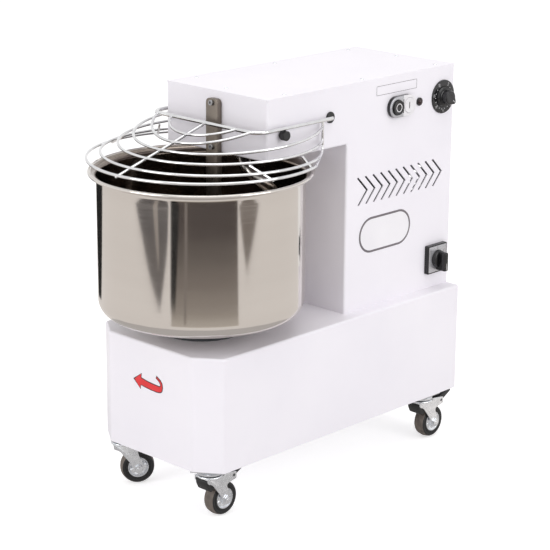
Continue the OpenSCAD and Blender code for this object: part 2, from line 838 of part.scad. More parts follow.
// A ring is the circle arc through both ends and the front point, in their own sloping plane.
// Its measures: [radius, half its open angle, slope of its plane]
function ring_arc(reach, front_z, end) =
    let (
        depth = norm([end[1] + reach, end[2] - front_z]),
        r = (end[0] * end[0] + depth * depth) / (2 * depth)
    )
    [r, acos((depth - r) / r), atan2(end[2] - front_z, end[1] + reach)];

module guard_ring(reach, front_z, end) {
    q = ring_arc(reach, front_z, end);
    at(-reach, front_z) rotate([q[2], 0, 0]) translate([0, q[0], 0]) rotate([0, 0, q[1] - 270])
        rotate_extrude(angle = 360 - 2 * q[1], $fn = 72) translate([q[0], 0])
            circle(r = wire_d / 2, $fn = 14);
}

// The point of a ring at an angle round it from its front point
function on_ring(reach, front_z, end, angle) =
    let (q = ring_arc(reach, front_z, end), back = q[0] * (1 - cos(angle)))
    [q[0] * sin(angle), back * cos(q[2]) - reach, front_z + back * sin(q[2])];

// Front point of a ring on the sloping centre rib, from the rim (s = 1) to the front bar (s = 0)
function rib_y(s) = -front_bar_y + (guard_front + front_bar_y) * s;
function rib_z(s) = pivot_z - rib_rise * s;
function side_end(i) = [guard_x, wire_y, guard_rim_z + rib_rise * ring_end[i]];
rib_drop = wire_d * 0.7;

module guard_rings() {
    under = [0, 0, -rib_drop];
    color("silver") in_frame() {
        for (i = [0:3]) guard_ring(rib_y(ring_front[i]), rib_z(ring_front[i]), side_end(i));
        for (i = [0:1])
            guard_ring(rib_y(short_front[i]), rib_z(short_front[i]), [short_x[i], front_bar_y, pivot_z]);
        rod([0, -rib_y(1) - 2, rib_z(1)] + under, [0, front_bar_y, pivot_z] + under, wire_d / 2);
        for (s = [0, 1]) mirror([s, 0, 0]) {
            rod([guard_x, wire_y + 0.8, guard_rim_z - wire_d / 2 - 0.5],
                [guard_x, wire_y + 0.8, pivot_z - frame_d / 2 + 1], wire_d / 2 + 0.4);
            for (r = RIBS) rod(
                on_ring(rib_y(ring_front[2]), rib_z(ring_front[2]), side_end(2), r[0]) + under,
                on_ring(rib_y(ring_front[0]), rib_z(ring_front[0]), side_end(0), r[1]) + under,
                wire_d / 2 - 0.3
            );
        }
    }
}

module guard_bushes() {
    color("black") in_frame() for (s = [-1, 1])
        translate([s * half_w, pivot_y, pivot_z]) rotate([0, s * 90, 0]) difference() {
            union() {
                cylinder(r = 10, h = 3);
                translate([0, 0, -shell_t - 6]) cylinder(r = 7, h = shell_t + 7);
            }
            translate([0, 0, -20]) cylinder(r = frame_d / 2 + run, h = 40);
        }
}

module guard_bumpers() {
    r = 8.5;
    color("black") in_frame() for (s = [-1, 1])
        translate([s * half_w, head_y + 34, pivot_z - frame_d / 2 - gap - r]) rotate([0, s * 90, 0]) {
            cylinder(r1 = r - 2, r2 = r, h = 4);
            translate([0, 0, 4]) cylinder(r = r, h = guard_gap + frame_d - 2);
        }
}

// ---------- controls ----------

module stadium(l, h) {
    translate([-(l - h) / 2, -h / 2]) square([l - h, h]);
    for (s = [-1, 1]) translate([s * (l - h) / 2, 0]) circle(d = h);
}

module button_housing() {
    color("dimgray") in_frame() on_side(button_y, control_z) difference() {
        linear_extrude(button_h_out) stadium(button_l, button_h);
        for (s = [-1, 1]) translate([s * button_pitch / 2, 0, 0]) {
            translate([0, 0, 2]) cylinder(r = button_r + gap, h = button_h_out);
            translate([0, 0, -1]) cylinder(r = stem_r + 0.5, h = button_h_out);
        }
    }
}

// A round push button with its stem. It stands proud of the unit and its face is dished.
module push_button(side, proud, dish) {
    base = 2 + button_travel + 0.2;
    dish_r = 58;
    on_side(button_y + side * button_pitch / 2, control_z) {
        difference() {
            translate([0, 0, base]) cylinder(r = button_r, h = button_h_out + proud - base);
            translate([0, 0, button_h_out + proud + dish_r]) sphere(r = dish_r + dish, $fn = 48);
        }
        translate([0, 0, -shell_t - 6])
            cylinder(r = stem_r, h = shell_t + 6 + base + 0.1, $fn = 32);
    }
}

module stop_button() { color("black") in_frame() push_button(-1, 4, 0.8); }

module start_button() { color("white") in_frame() push_button(1, 1, 0.5); }

module indicator_lamp() {
    color("darkred") in_frame() on_side(lamp_y, control_z) {
        cylinder(r = 7.5, h = 3);
        translate([0, 0, -shell_t]) cylinder(r = 5, h = shell_t);
        intersection() {
            sphere(r = 6.5);
            translate([-8, -8, 2.9]) cube(16);
        }
    }
}

module timer_dial() {
    color("black") in_frame() on_side(dial_y, control_z) ring(dial_d / 2, 5, 3);
}

module timer_knob() {
    color("black") in_frame() on_side(dial_y, control_z) {
        translate([0, 0, 3 + gap]) cylinder(r1 = 19, r2 = 17, h = 4);
        translate([0, 0, 7]) cylinder(r1 = 14, r2 = 11.5, h = 14);
        translate([0, 0, -shell_t]) cylinder(r = 3, h = shell_t + 8);
    }
}

module speed_switch_plate() {
    color("dimgray") in_frame() on_side(switch_y, switch_z) difference() {
        translate([-switch_side / 2, -switch_side / 2, 0]) cube([switch_side, switch_side, switch_t]);
        translate([0, 0, -1]) cylinder(r = 6, h = switch_t + 2);
    }
}

module speed_knob() {
    color("black") in_frame() on_side(switch_y, switch_z) {
        translate([0, 0, switch_t + gap]) cylinder(r1 = 17, r2 = 15, h = 7);
        translate([-5, -21, switch_t + gap]) cube([10, 36, 22]);
        translate([0, 0, -shell_t]) cylinder(r = 3, h = shell_t + switch_t + 1);
    }
}

// Contact blocks behind the controls, each with a hole for its stem, and the guard's safety switch
module switch_bodies() {
    block = 34;
    color("darkslategray") in_frame() {
        on_side(button_y, control_z) translate([0, 0, -shell_t - block]) difference() {
            translate([-button_l / 2 + 13, -15, 0]) cube([button_l - 26, 30, block]);
            for (s = [-1, 1]) translate([s * button_pitch / 2, 0, block - 11])
                cylinder(r = stem_r + 0.5, h = 12);
        }
        on_side(dial_y, control_z) translate([0, 0, -shell_t - block]) difference() {
            translate([-20, -18, 0]) cube([40, 36, block]);
            translate([0, 0, block - 2]) cylinder(r = 5, h = 3);
        }
        on_side(switch_y, switch_z) translate([0, 0, -shell_t - block]) difference() {
            translate([-19, -19, 0]) cube([38, 38, block]);
            translate([0, 0, block - 2]) cylinder(r = 6, h = 3);
        }
        translate([inner_w - 24, pivot_y + cam_r, pivot_z - 6]) cube([24, 22, 20]);
    }
}

module contactors() {
    rail_y = motor_y - 60;
    rail_z = head_z - 100;
    color("dimgray") in_frame() translate([-inner_w, rail_y, rail_z]) {
        cube([3, 110, 35]);
        for (i = [0:1]) translate([3 + fit, 4 + i * 36, -16]) cube([38, 32, 66]);
        translate([3 + fit, 78, -10]) cube([34, 26, 56]);
    }
}

module cable_gland() {
    x = -base_w / 2 + 45;
    color("dimgray") in_frame() translate([x, base_back, caster_h + 60]) rotate([-90, 0, 0]) difference() {
        union() {
            cylinder(r = 13, h = gland_hex_l, $fn = 6);
            translate([0, 0, gland_hex_l]) cylinder(r1 = 11.5, r2 = 9, h = gland_l - gland_hex_l);
            translate([0, 0, -base_t - 8]) cylinder(r = 8, h = base_t + 9);
        }
        translate([0, 0, -20]) cylinder(r = 4.5, h = 60);
    }
}

// ---------- casters ----------

module at_caster(k) {
    c = CASTERS[k];
    in_frame() translate([c[0], c[1], 0]) rotate([0, 0, c[2]]) children();
}

// One cheek of a fork in the (y, z) plane: crown, axle eye and, on a braked fork, an arm for the pedal
module cheek(brake) {
    hull() {
        translate([trail, wheel_r]) circle(r = 10, $fn = 32);
        translate([-8, crown_z - 4]) square([30, 3]);
    }
    translate([-20, crown_z - 6]) square([42, 6]);
    arm_y = pedal_y + 7;
    if (brake) polygon([
        [18, crown_z - 16], [18, crown_z], [arm_y, crown_z - 3], [arm_y, crown_z - 16]
    ]);
}

// The brake shoe between the cheeks, ahead of the tyre, in the (y, z) plane
module brake_shoe() {
    polygon([
        [-20, crown_z - 6], [-20, crown_z - 13], [-14, crown_z - 26], [-8, crown_z - 28],
        [3, crown_z - 18], [6, crown_z - 6]
    ]);
}

module caster_fork(k, brake) {
    color("silver") at_caster(k) {
        difference() {
            union() {
                for (x = [-fork_gap - fork_t, fork_gap]) translate([x, 0, 0]) rotate([90, 0, 90])
                    linear_extrude(fork_t) cheek(brake);
                translate([-fork_gap - fork_t, -20, crown_z - 3]) cube([2 * (fork_gap + fork_t), 42, 3]);
                translate([0, 0, crown_z - 6]) rotate_extrude() polygon([
                    [0, 3], [cup_r - 6, 3], [cup_r, 4], [cup_r, 6], [0, 6]
                ]);
            }
            if (brake) translate([-30, pedal_y, pedal_z]) rotate([0, 90, 0])
                cylinder(r = pedal_pin_r + run, h = 60);
            translate([-30, trail, wheel_r]) rotate([0, 90, 0]) cylinder(r = axle_r + fit, h = 60);
        }
        translate([-fork_gap - fork_t, trail, wheel_r]) rotate([0, 90, 0])
            cylinder(r = axle_r, h = 2 * (fork_gap + fork_t));
        if (brake) translate([-fork_gap + 0.1, 0, 0]) rotate([90, 0, 90]) linear_extrude(2 * fork_gap - 0.2)
            brake_shoe();
        for (s = [-1, 1]) translate([s * (fork_gap + fork_t), trail, wheel_r]) rotate([0, s * 90, 0])
            cylinder(r = 6.5, h = 4, $fn = 6);
    }
}

module caster_wheel(k) {
    hub_r = wheel_r * 0.6;
    hub_w = 2 * fork_gap - 0.8;
    color("dimgray") at_caster(k) translate([0, trail, wheel_r]) rotate([0, 90, 0]) {
        rotate_extrude($fn = 96) polygon([
            [hub_r + fit, 1 - tyre_w / 2], [wheel_r - 3, -tyre_w / 2], [wheel_r - 0.6, 3.5 - tyre_w / 2],
            [wheel_r, 0], [wheel_r - 0.6, tyre_w / 2 - 3.5], [wheel_r - 3, tyre_w / 2],
            [hub_r + fit, tyre_w / 2 - 1]
        ]);
        difference() {
            rotate_extrude() polygon([
                [0, -hub_w / 2], [9, -hub_w / 2], [9, -tyre_w / 2 + 4], [hub_r - 2, -tyre_w / 2 + 2],
                [hub_r, -tyre_w / 2 + 1], [hub_r, tyre_w / 2 - 1], [hub_r - 2, tyre_w / 2 - 2],
                [9, tyre_w / 2 - 4], [9, hub_w / 2], [0, hub_w / 2]
            ]);
            translate([0, 0, -hub_w]) cylinder(r = axle_r + run, h = 2 * hub_w);
        }
    }
}

// Brake pedal: a lever on a pin through the fork's arms, its shoe just above the tyre
module brake_pedal(k) {
    lever_w = 2 * fork_gap - 0.8;
    color("black") at_caster(k) {
        translate([-lever_w / 2, 0, 0]) rotate([90, 0, 90]) linear_extrude(lever_w) polygon([
            [pedal_y - 14, pedal_z - 2], [pedal_y - 8, pedal_z + 5], [pedal_y + 26, caster_h - 4],
            [pedal_y + 33, caster_h - 8], [pedal_y + 27, caster_h - 13], [pedal_y + 6, pedal_z - 3]
        ]);
        translate([-fork_gap - fork_t, pedal_y, pedal_z]) rotate([0, 90, 0])
            cylinder(r = pedal_pin_r, h = 2 * (fork_gap + fork_t));
    }
}

base_shell();
base_bottom_plate();
column_shell();
head_shell();
top_cover();
rear_panel();
panel_screws();
caster_plates();
bowl_bearing_housing();
ball_bearings();
bowl();
bowl_spindle();
bowl_pulley();
bowl_belt();
drive_shaft();
lower_drive_pulley();
upper_drive_pulley();
gearbox_housing();
gearbox_cover();
output_gear();
intermediate_shaft();
intermediate_gear();
motor_housing();
motor_stator();
motor_end_bells();
motor_rotor();
motor_fan();
motor_fan_cowl();
head_plate();
spiral_bearing_housing();
spiral_hook();
spiral_pulley();
spiral_belt();
breaker_bar();
breaker_bar_screws();
guard_frame();
guard_rings();
guard_bushes();
guard_bumpers();
button_housing();
stop_button();
start_button();
indicator_lamp();
timer_dial();
timer_knob();
speed_switch_plate();
speed_knob();
switch_bodies();
contactors();
cable_gland();
caster_fork(0, true);  // caster_fork_fr
caster_fork(1, false);  // caster_fork_fl
caster_fork(2, true);  // caster_fork_rr
caster_fork(3, false);  // caster_fork_rl
caster_wheel(0);  // caster_wheel_fr
caster_wheel(1);  // caster_wheel_fl
caster_wheel(2);  // caster_wheel_rr
caster_wheel(3);  // caster_wheel_rl
brake_pedal(0);  // brake_pedal_fr
brake_pedal(2);  // brake_pedal_rr
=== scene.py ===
import json
import math

import bmesh
import bpy
import numpy as np
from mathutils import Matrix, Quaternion, Vector

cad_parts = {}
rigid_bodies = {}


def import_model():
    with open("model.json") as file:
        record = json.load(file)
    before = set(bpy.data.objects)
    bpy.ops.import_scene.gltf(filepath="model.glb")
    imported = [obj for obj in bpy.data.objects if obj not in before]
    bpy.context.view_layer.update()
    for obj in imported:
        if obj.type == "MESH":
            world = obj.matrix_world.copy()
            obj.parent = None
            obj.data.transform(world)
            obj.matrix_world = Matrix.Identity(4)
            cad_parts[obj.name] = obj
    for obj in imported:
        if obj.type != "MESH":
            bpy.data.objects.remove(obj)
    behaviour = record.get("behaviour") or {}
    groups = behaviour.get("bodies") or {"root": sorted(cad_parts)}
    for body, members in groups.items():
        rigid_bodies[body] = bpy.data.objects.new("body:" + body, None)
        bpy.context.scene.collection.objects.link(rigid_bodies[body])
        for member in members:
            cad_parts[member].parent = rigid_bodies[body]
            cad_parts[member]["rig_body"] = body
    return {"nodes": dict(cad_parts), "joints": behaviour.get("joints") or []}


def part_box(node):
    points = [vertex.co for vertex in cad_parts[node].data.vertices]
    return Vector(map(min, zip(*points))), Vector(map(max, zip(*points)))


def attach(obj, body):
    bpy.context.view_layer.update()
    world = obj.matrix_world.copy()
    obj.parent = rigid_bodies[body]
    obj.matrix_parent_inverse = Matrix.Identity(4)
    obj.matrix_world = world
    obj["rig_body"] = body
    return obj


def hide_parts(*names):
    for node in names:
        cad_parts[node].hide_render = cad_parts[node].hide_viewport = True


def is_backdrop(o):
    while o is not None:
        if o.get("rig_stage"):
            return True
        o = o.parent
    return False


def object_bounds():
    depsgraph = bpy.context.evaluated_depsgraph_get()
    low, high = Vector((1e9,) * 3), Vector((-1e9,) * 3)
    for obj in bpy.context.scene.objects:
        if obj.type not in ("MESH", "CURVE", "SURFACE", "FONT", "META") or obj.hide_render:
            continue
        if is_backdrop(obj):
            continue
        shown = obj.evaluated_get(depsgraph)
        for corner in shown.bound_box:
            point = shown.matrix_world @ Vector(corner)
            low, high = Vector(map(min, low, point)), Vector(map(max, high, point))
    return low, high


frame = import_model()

cad_low, cad_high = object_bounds()
nodes = frame["nodes"]
joints = {joint["name"]: joint for joint in frame["joints"]}
scene = bpy.context.scene
scene.view_settings.view_transform = "Standard"

# ---------- Camera ----------
# A long lens at the mixer's front right corner, well above the guard, leaning by half a degree.
camera_place = Vector((2.3759, -2.4680, 1.3762))
camera_target = Vector((0.0203, -0.0063, 0.3656))
camera_lean = math.radians(0.48)
lens_data = bpy.data.cameras.new("camera")
lens_data.lens = 129.58
lens_data.shift_x = -0.0044
lens_data.shift_y = -0.0026
lens_data.clip_end = 100
camera = bpy.data.objects.new("camera", lens_data)
scene.collection.objects.link(camera)
camera.rotation_mode = "QUATERNION"
camera.location = camera_place
aim = (camera_target - camera_place).to_track_quat("-Z", "Y")
camera.rotation_quaternion = aim @ Quaternion((0, 0, 1), camera_lean)
scene.camera = camera


# ---------- Studio ----------
# A seamless white floor under a white sky, one soft box above, one at the right and one at the
# left of the front, and dark boards low on the floor that only polished metal can see.
def node_of(tree, kind, **values):
    """A new shader node, with its inputs set by name to plain values."""
    made = tree.nodes.new("ShaderNode" + kind)
    for name, value in values.items():
        made.inputs[name.replace("_", " ")].default_value = value
    return made


def seen_by_camera_or_metal(tree):
    """1 for a ray from the camera, off polished metal or through glass, and 0 for soft light."""
    path = tree.nodes.new("ShaderNodeLightPath")
    total = path.outputs["Is Camera Ray"]
    for output in ("Is Glossy Ray", "Is Transmission Ray"):
        add = tree.nodes.new("ShaderNodeMath")
        add.operation = "MAXIMUM"
        tree.links.new(total, add.inputs[0])
        tree.links.new(path.outputs[output], add.inputs[1])
        total = add.outputs[0]
    return total


sky_light = 0.62
sky = bpy.data.worlds.new("sky")
scene.world = sky
sky.use_nodes = True
sky_tree = sky.node_tree
sky_tree.nodes.clear()
dim = node_of(sky_tree, "Background", Strength=sky_light)
white = node_of(sky_tree, "Background", Strength=1.0)
dim.inputs["Color"].default_value = (1.0, 0.985, 1.0, 1)
white.inputs["Color"].default_value = (1, 1, 1, 1)
sky_mix = sky_tree.nodes.new("ShaderNodeMixShader")
sky_out = sky_tree.nodes.new("ShaderNodeOutputWorld")
sky_tree.links.new(seen_by_camera_or_metal(sky_tree), sky_mix.inputs[0])
sky_tree.links.new(dim.outputs[0], sky_mix.inputs[1])
sky_tree.links.new(white.outputs[0], sky_mix.inputs[2])
sky_tree.links.new(sky_mix.outputs[0], sky_out.inputs["Surface"])


def rectangle(left, low, right, high):
    """The four corners of a rectangle, counter-clockwise from the lower left."""
    return [(left, low), (right, low), (right, high), (left, high)]


def flat_board(name, corners, height, finish):
    """A flat many-sided board lying at this height, its corners given in the plane."""
    data = bpy.data.meshes.new(name)
    data.from_pydata([(x, y, height) for x, y in corners], [], [list(range(len(corners)))])
    data.materials.append(finish)
    board = bpy.data.objects.new(name, data)
    scene.collection.objects.link(board)
    board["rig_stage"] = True
    return board


floor_finish = bpy.data.materials.new("floor_paper")
floor_finish.use_nodes = True
floor_tree = floor_finish.node_tree
floor_tree.nodes.clear()
paper = node_of(floor_tree, "BsdfDiffuse")
paper.inputs["Color"].default_value = (0.8, 0.8, 0.8, 1)
glow = node_of(floor_tree, "Emission", Strength=0.56)
nothing = node_of(floor_tree, "Emission", Strength=0.0)
glow_mix = floor_tree.nodes.new("ShaderNodeMixShader")
floor_sum = floor_tree.nodes.new("ShaderNodeAddShader")
floor_out = floor_tree.nodes.new("ShaderNodeOutputMaterial")
floor_tree.links.new(seen_by_camera_or_metal(floor_tree), glow_mix.inputs[0])
floor_tree.links.new(nothing.outputs[0], glow_mix.inputs[1])
floor_tree.links.new(glow.outputs[0], glow_mix.inputs[2])
floor_tree.links.new(paper.outputs[0], floor_sum.inputs[0])
floor_tree.links.new(glow_mix.outputs[0], floor_sum.inputs[1])
floor_tree.links.new(floor_sum.outputs[0], floor_out.inputs["Surface"])
floor_z = cad_low.z - 0.0005
floor_half = 30
flat_board("floor", rectangle(-floor_half, -floor_half, floor_half, floor_half), floor_z, floor_finish)


def soft_box(name, place, size, power):
    """A square soft box at this place, turned towards the middle of the mixer."""
    data = bpy.data.lights.new(name, "AREA")
    data.shape = "SQUARE"
    data.size = size
    data.energy = power
    lamp = bpy.data.objects.new(name, data)
    scene.collection.objects.link(lamp)
    lamp.location = place
    lamp.rotation_mode = "QUATERNION"
    lamp.rotation_quaternion = (camera_target - Vector(place)).to_track_quat("-Z", "Y")


soft_box("box_above", (0.3, -0.2, 3.2), 2.4, 26)
soft_box("box_right", (3.4, 0.6, 1.6), 1.8, 34)
soft_box("box_front", (-0.6, -3.3, 1.5), 1.8, 34)

bowl_low, bowl_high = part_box("bowl")
axis_y = (bowl_low.y + bowl_high.y) / 2


def metal_board(layer, near, near_bearings, far, far_bearings, grey):
    """A board on the floor between two distances from the bowl's axis. At each distance it spans
    two compass bearings, in degrees from +X. Only polished metal sees it, as this grey."""
    finish = bpy.data.materials.new("board_%02d" % layer)
    finish.use_nodes = True
    finish.node_tree.nodes.clear()
    card = node_of(finish.node_tree, "Emission", Strength=1.0)
    card.inputs["Color"].default_value = (*grey, 1)
    out = finish.node_tree.nodes.new("ShaderNodeOutputMaterial")
    finish.node_tree.links.new(card.outputs[0], out.inputs["Surface"])
    steps = 12
    inner = np.radians(np.linspace(near_bearings[0], near_bearings[1], steps))
    outer = np.radians(np.linspace(far_bearings[1], far_bearings[0], steps))
    corners = np.concatenate([
        near * np.stack([np.cos(inner), np.sin(inner)], 1),
        far * np.stack([np.cos(outer), np.sin(outer)], 1),
    ]) + (0, axis_y)
    board = flat_board("board_%02d" % layer, corners.tolist(), floor_z + 0.0002 * layer, finish)
    for ray in ("camera", "diffuse", "shadow", "transmission", "volume_scatter"):
        setattr(board, "visible_" + ray, False)


warm_grey, dark_brown, near_black = (0.40, 0.36, 0.33), (0.085, 0.07, 0.065), (0.02, 0.02, 0.02)
all_round, ahead = (-180, 180), (-75, -6)
for board_layer, board_shape in enumerate((
    (0.05, all_round, 3.4, all_round, (0.84, 0.80, 0.77)),
    (0.05, all_round, 0.58, all_round, (0.56, 0.54, 0.53)),
    (1.02, ahead, 1.12, ahead, (0.62, 0.57, 0.51)),
    (1.12, ahead, 1.24, ahead, (0.50, 0.46, 0.41)),
    (1.24, ahead, 1.38, ahead, (0.40, 0.36, 0.32)),
    (1.38, ahead, 1.54, ahead, (0.31, 0.275, 0.245)),
    (1.54, ahead, 1.74, ahead, (0.23, 0.20, 0.18)),
    (1.74, ahead, 1.98, ahead, (0.16, 0.14, 0.127)),
    (1.98, ahead, 3.0, ahead, dark_brown),
    (1.4, (-76, -71), 3.0, (-76, -66), near_black),
    (1.15, (-62, -60), 3.0, (-61, -58), (0.26, 0.23, 0.21)),
    (1.4, (-89, -87), 1.95, (-108, -79), (0.17, 0.155, 0.15)),
    (1.95, (-108, -79), 2.5, (-120, -78), (0.13, 0.12, 0.12)),
    (1.75, (-90, -88), 2.5, (-97, -91), warm_grey),
    (1.72, (3, 5), 2.5, (-6, 21), (0.22, 0.19, 0.17)),
    (1.2, (162, 176), 2.8, (150, 184), near_black),
    (1.55, (104, 107), 1.75, (104, 108), near_black),
    (0.6, (84, 98), 3.2, (84, 100), (1.0, 1.0, 1.0)),
), 1):
    metal_board(board_layer, *board_shape)


# ---------- Base shell ----------
# The base is a box of 3 mm steel sheet, bent at its corners, open underneath and powder-coated
# white. Its two front corners are cut off. The coat has the fine skin of an orange.
def tone(red, green, blue):
    """A colour given as it looks, 0 to 255, as the light that it sends back, 0 to 1."""
    looks = np.array([red, green, blue]) / 255
    return tuple(np.where(looks > 0.04045, ((looks + 0.055) / 1.055) ** 2.4, looks / 12.92).tolist())


def noise(tree, scale, stretch=(1, 1, 1), detail=2.0):
    """Noise with this many grains a metre on the piece's own axes, stretched along them."""
    place = tree.nodes.new("ShaderNodeTexCoord")
    mapping = node_of(tree, "Mapping", Scale=stretch)
    grains = node_of(tree, "TexNoise", Scale=scale, Detail=detail)
    tree.links.new(place.outputs["Object"], mapping.inputs["Vector"])
    tree.links.new(mapping.outputs["Vector"], grains.inputs["Vector"])
    return grains.outputs["Fac"]


def spread(tree, factor, low, high):
    """The noise's usual range, 0.3 to 0.7, taken to low and high."""
    stretch = node_of(tree, "MapRange")
    for index, value in enumerate((0.3, 0.7, low, high), 1):
        stretch.inputs[index].default_value = value
    tree.links.new(factor, stretch.inputs[0])
    return stretch.outputs[0]


def coloured(tree, factor, dark, light):
    """A colour between dark and light, by a factor from 0 to 1."""
    mix = tree.nodes.new("ShaderNodeMix")
    mix.data_type = "RGBA"
    mix.inputs[6].default_value = (*dark, 1)
    mix.inputs[7].default_value = (*light, 1)
    tree.links.new(factor, mix.inputs[0])
    return mix.outputs[2]


def embossed(tree, shader, height, depth):
    """A relief of this depth in metres, whose height runs from 0 to 1."""
    bump = node_of(tree, "Bump", Strength=1.0, Distance=depth, Height=0.5)
    tree.links.new(height, bump.inputs["Height"])
    tree.links.new(bump.outputs["Normal"], shader.inputs["Normal"])


def finish(name, dark, light, smooth, rough, grains, depth, stretch=(1, 1, 1), patches=9.0, **constants):
    """A finish whose colour drifts between dark and light in broad patches. Finer noise, with so
    many grains a metre, moves its roughness from smooth to rough and gives a relief of this
    depth. Constants are the shader's own, such as Metallic."""
    made = bpy.data.materials.new(name)
    made.use_nodes = True
    tree = made.node_tree
    shader = tree.nodes["Principled BSDF"]
    for key, value in constants.items():
        shader.inputs[key.replace("_", " ")].default_value = value
    drift = spread(tree, noise(tree, patches, stretch, 3.0), 0.0, 1.0)
    tree.links.new(coloured(tree, drift, dark, light), shader.inputs["Base Color"])
    grain = noise(tree, grains, stretch)
    tree.links.new(spread(tree, grain, smooth, rough), shader.inputs["Roughness"])
    embossed(tree, shader, grain, depth)
    return made


white_coat = finish(
    "white_powder_coat", tone(243, 240, 246), tone(248, 245, 250), 0.30, 0.42, 750, 0.00004,
    patches=5.0, Specular_IOR_Level=0.45,
)


def softened(node, bend, coat, split_y=None, everywhere=False):
    """A copy of a CAD node with its corners bent to a radius: its triangles are merged to flat
    faces, and a Bevel modifier rounds each outer edge between two faces that are larger than
    100 square centimetres. split_y cuts the faces there first, so that a bend can end at that
    place. everywhere rounds every edge instead."""
    large = 0.01
    steps = 7
    shape = bmesh.new()
    shape.from_mesh(nodes[node].data)
    bmesh.ops.remove_doubles(shape, verts=shape.verts, dist=1e-6)
    bmesh.ops.dissolve_limit(shape, angle_limit=math.radians(1), verts=shape.verts, edges=shape.edges)
    if split_y is not None:
        whole = shape.verts[:] + shape.edges[:] + shape.faces[:]
        bmesh.ops.bisect_plane(shape, geom=whole, dist=1e-6, plane_co=(0, split_y, 0), plane_no=(0, 1, 0))
    weights = shape.edges.layers.float.new("bevel_weight_edge")
    for edge in shape.edges:
        turned_face = len(edge.link_faces) == 2 and edge.calc_face_angle() > math.radians(20)
        outer = turned_face and edge.is_convex and min(face.calc_area() for face in edge.link_faces) > large
        edge[weights] = 1.0 if outer or (everywhere and turned_face) else 0.0
    for face in shape.faces:
        face.smooth = False
    data = bpy.data.meshes.new(node + "_bent")
    shape.to_mesh(data)
    shape.free()
    data.materials.append(coat)
    made = bpy.data.objects.new(node + "_bent", data)
    scene.collection.objects.link(made)
    rounding = made.modifiers.new("bends", "BEVEL")
    rounding.limit_method = "WEIGHT"
    rounding.width = bend
    rounding.segments = steps
    rounding.use_clamp_overlap = everywhere
    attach(made, nodes[node]["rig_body"])
    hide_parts(node)
    return made


softened("base_shell", 0.004, white_coat)
softened("base_bottom_plate", 0.0006, white_coat, everywhere=True)

# ---------- Turning arrow ----------
# A red sticker with a dark outline on the front of the base shows which way the bowl turns: an
# arrow to the left whose thin tail curls back behind it.


def filleted(corners, radius, steps=7, closed=True):
    """A line through corners, each cut back by at most radius and rounded by a quadratic curve.
    radius is one number or one for each corner. An open line keeps its two ends."""
    corners = np.asarray(corners, float)
    radius = np.broadcast_to(np.asarray(radius, float).reshape(-1, 1), (len(corners), 1))
    ends = []
    for shift in (1, -1):
        away = np.roll(corners, shift, 0) - corners
        length = np.linalg.norm(away, axis=1, keepdims=True)
        ends.append(corners + away / length * np.minimum(radius, 0.49 * length))
    t = np.linspace(0, 1, steps)[None, :, None]
    curve = (1 - t) ** 2 * ends[0][:, None] + 2 * t * (1 - t) * corners[:, None] + t**2 * ends[1][:, None]
    if closed:
        return curve.reshape(-1, corners.shape[1])
    return np.concatenate([corners[:1], curve[1:-1].reshape(-1, corners.shape[1]), corners[-1:]])


def inset(outline, distance):
    """An outline that runs counter-clockwise, moved inwards by distance along its normals."""
    along = np.roll(outline, -1, 0) - np.roll(outline, 1, 0)
    normal = np.stack([along[:, 1], -along[:, 0]], 1) / np.linalg.norm(along, axis=1, keepdims=True)
    return outline - normal * distance


def raised(outline, rows):
    """One copy of an outline for each row's pair of inset and height."""
    return np.stack([np.column_stack([inset(outline, i), np.full(len(outline), h)]) for i, h in rows])


def slab(outline, low, high, edge, steps=3):
    """Rows of an outline raised from low to high, its edges rolled inwards by edge at both
    ends along a quarter circle."""
    turn = np.linspace(0, np.pi / 2, steps + 1)
    rows = [(edge * (1 - np.sin(a)), low + edge * (1 - np.cos(a))) for a in turn]
    rows += [(edge * (1 - np.cos(a)), high - edge * (1 - np.sin(a))) for a in turn]
    return raised(outline, rows)


def solid(grid, finish_number=0, ring=False):
    """A closed solid from rows of points that each go once round. Neighbouring rows are joined
    by four-sided faces, and the first and last row get a flat cap, or meet if ring is true."""
    rows, columns = grid.shape[:2]
    i = np.arange(rows if ring else rows - 1)[:, None]
    j = np.arange(columns)[None, :]
    next_i, next_j = (i + 1) % rows, (j + 1) % columns
    corners = [i * columns + j, i * columns + next_j, next_i * columns + next_j, next_i * columns + j]
    quads = np.stack(np.broadcast_arrays(*corners), -1).reshape(-1, 4)
    caps = [] if ring else [np.arange(columns)[::-1], np.arange(columns) + (rows - 1) * columns]
    return grid.reshape(-1, 3), quads, caps, finish_number


def put(grid, axes, origin=(0, 0, 0)):
    """Points moved so that local x, y and z run along the three rows of axes from an origin."""
    return grid @ np.asarray(axes, float) + np.asarray(origin, float)


def piece(name, solids, finishes, body, replaced=(), crease=38):
    """One object from several solids: doubles merged, normals outwards, and smooth except where
    faces meet at more than crease degrees. It rides on a body and stands for CAD nodes."""
    points, faces, marks, start = [], [], [], 0
    for own_points, quads, caps, finish_number in solids:
        points.append(own_points)
        faces += (quads + start).tolist() + [(cap + start).tolist() for cap in caps]
        marks += np.broadcast_to(finish_number, len(quads) + len(caps)).tolist()
        start += len(own_points)
    data = bpy.data.meshes.new(name)
    data.from_pydata(np.concatenate(points).tolist(), [], faces)
    data.polygons.foreach_set("material_index", marks)
    shape = bmesh.new()
    shape.from_mesh(data)
    bmesh.ops.remove_doubles(shape, verts=shape.verts, dist=1e-7)
    bmesh.ops.recalc_face_normals(shape, faces=shape.faces)
    shape.to_mesh(data)
    shape.free()
    for each in finishes:
        data.materials.append(each)
    data.polygons.foreach_set("use_smooth", np.ones(len(data.polygons), bool))
    data.set_sharp_from_angle(angle=math.radians(crease))
    made = bpy.data.objects.new(name, data)
    scene.collection.objects.link(made)
    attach(made, body)
    if replaced:
        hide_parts(*replaced)
    return made


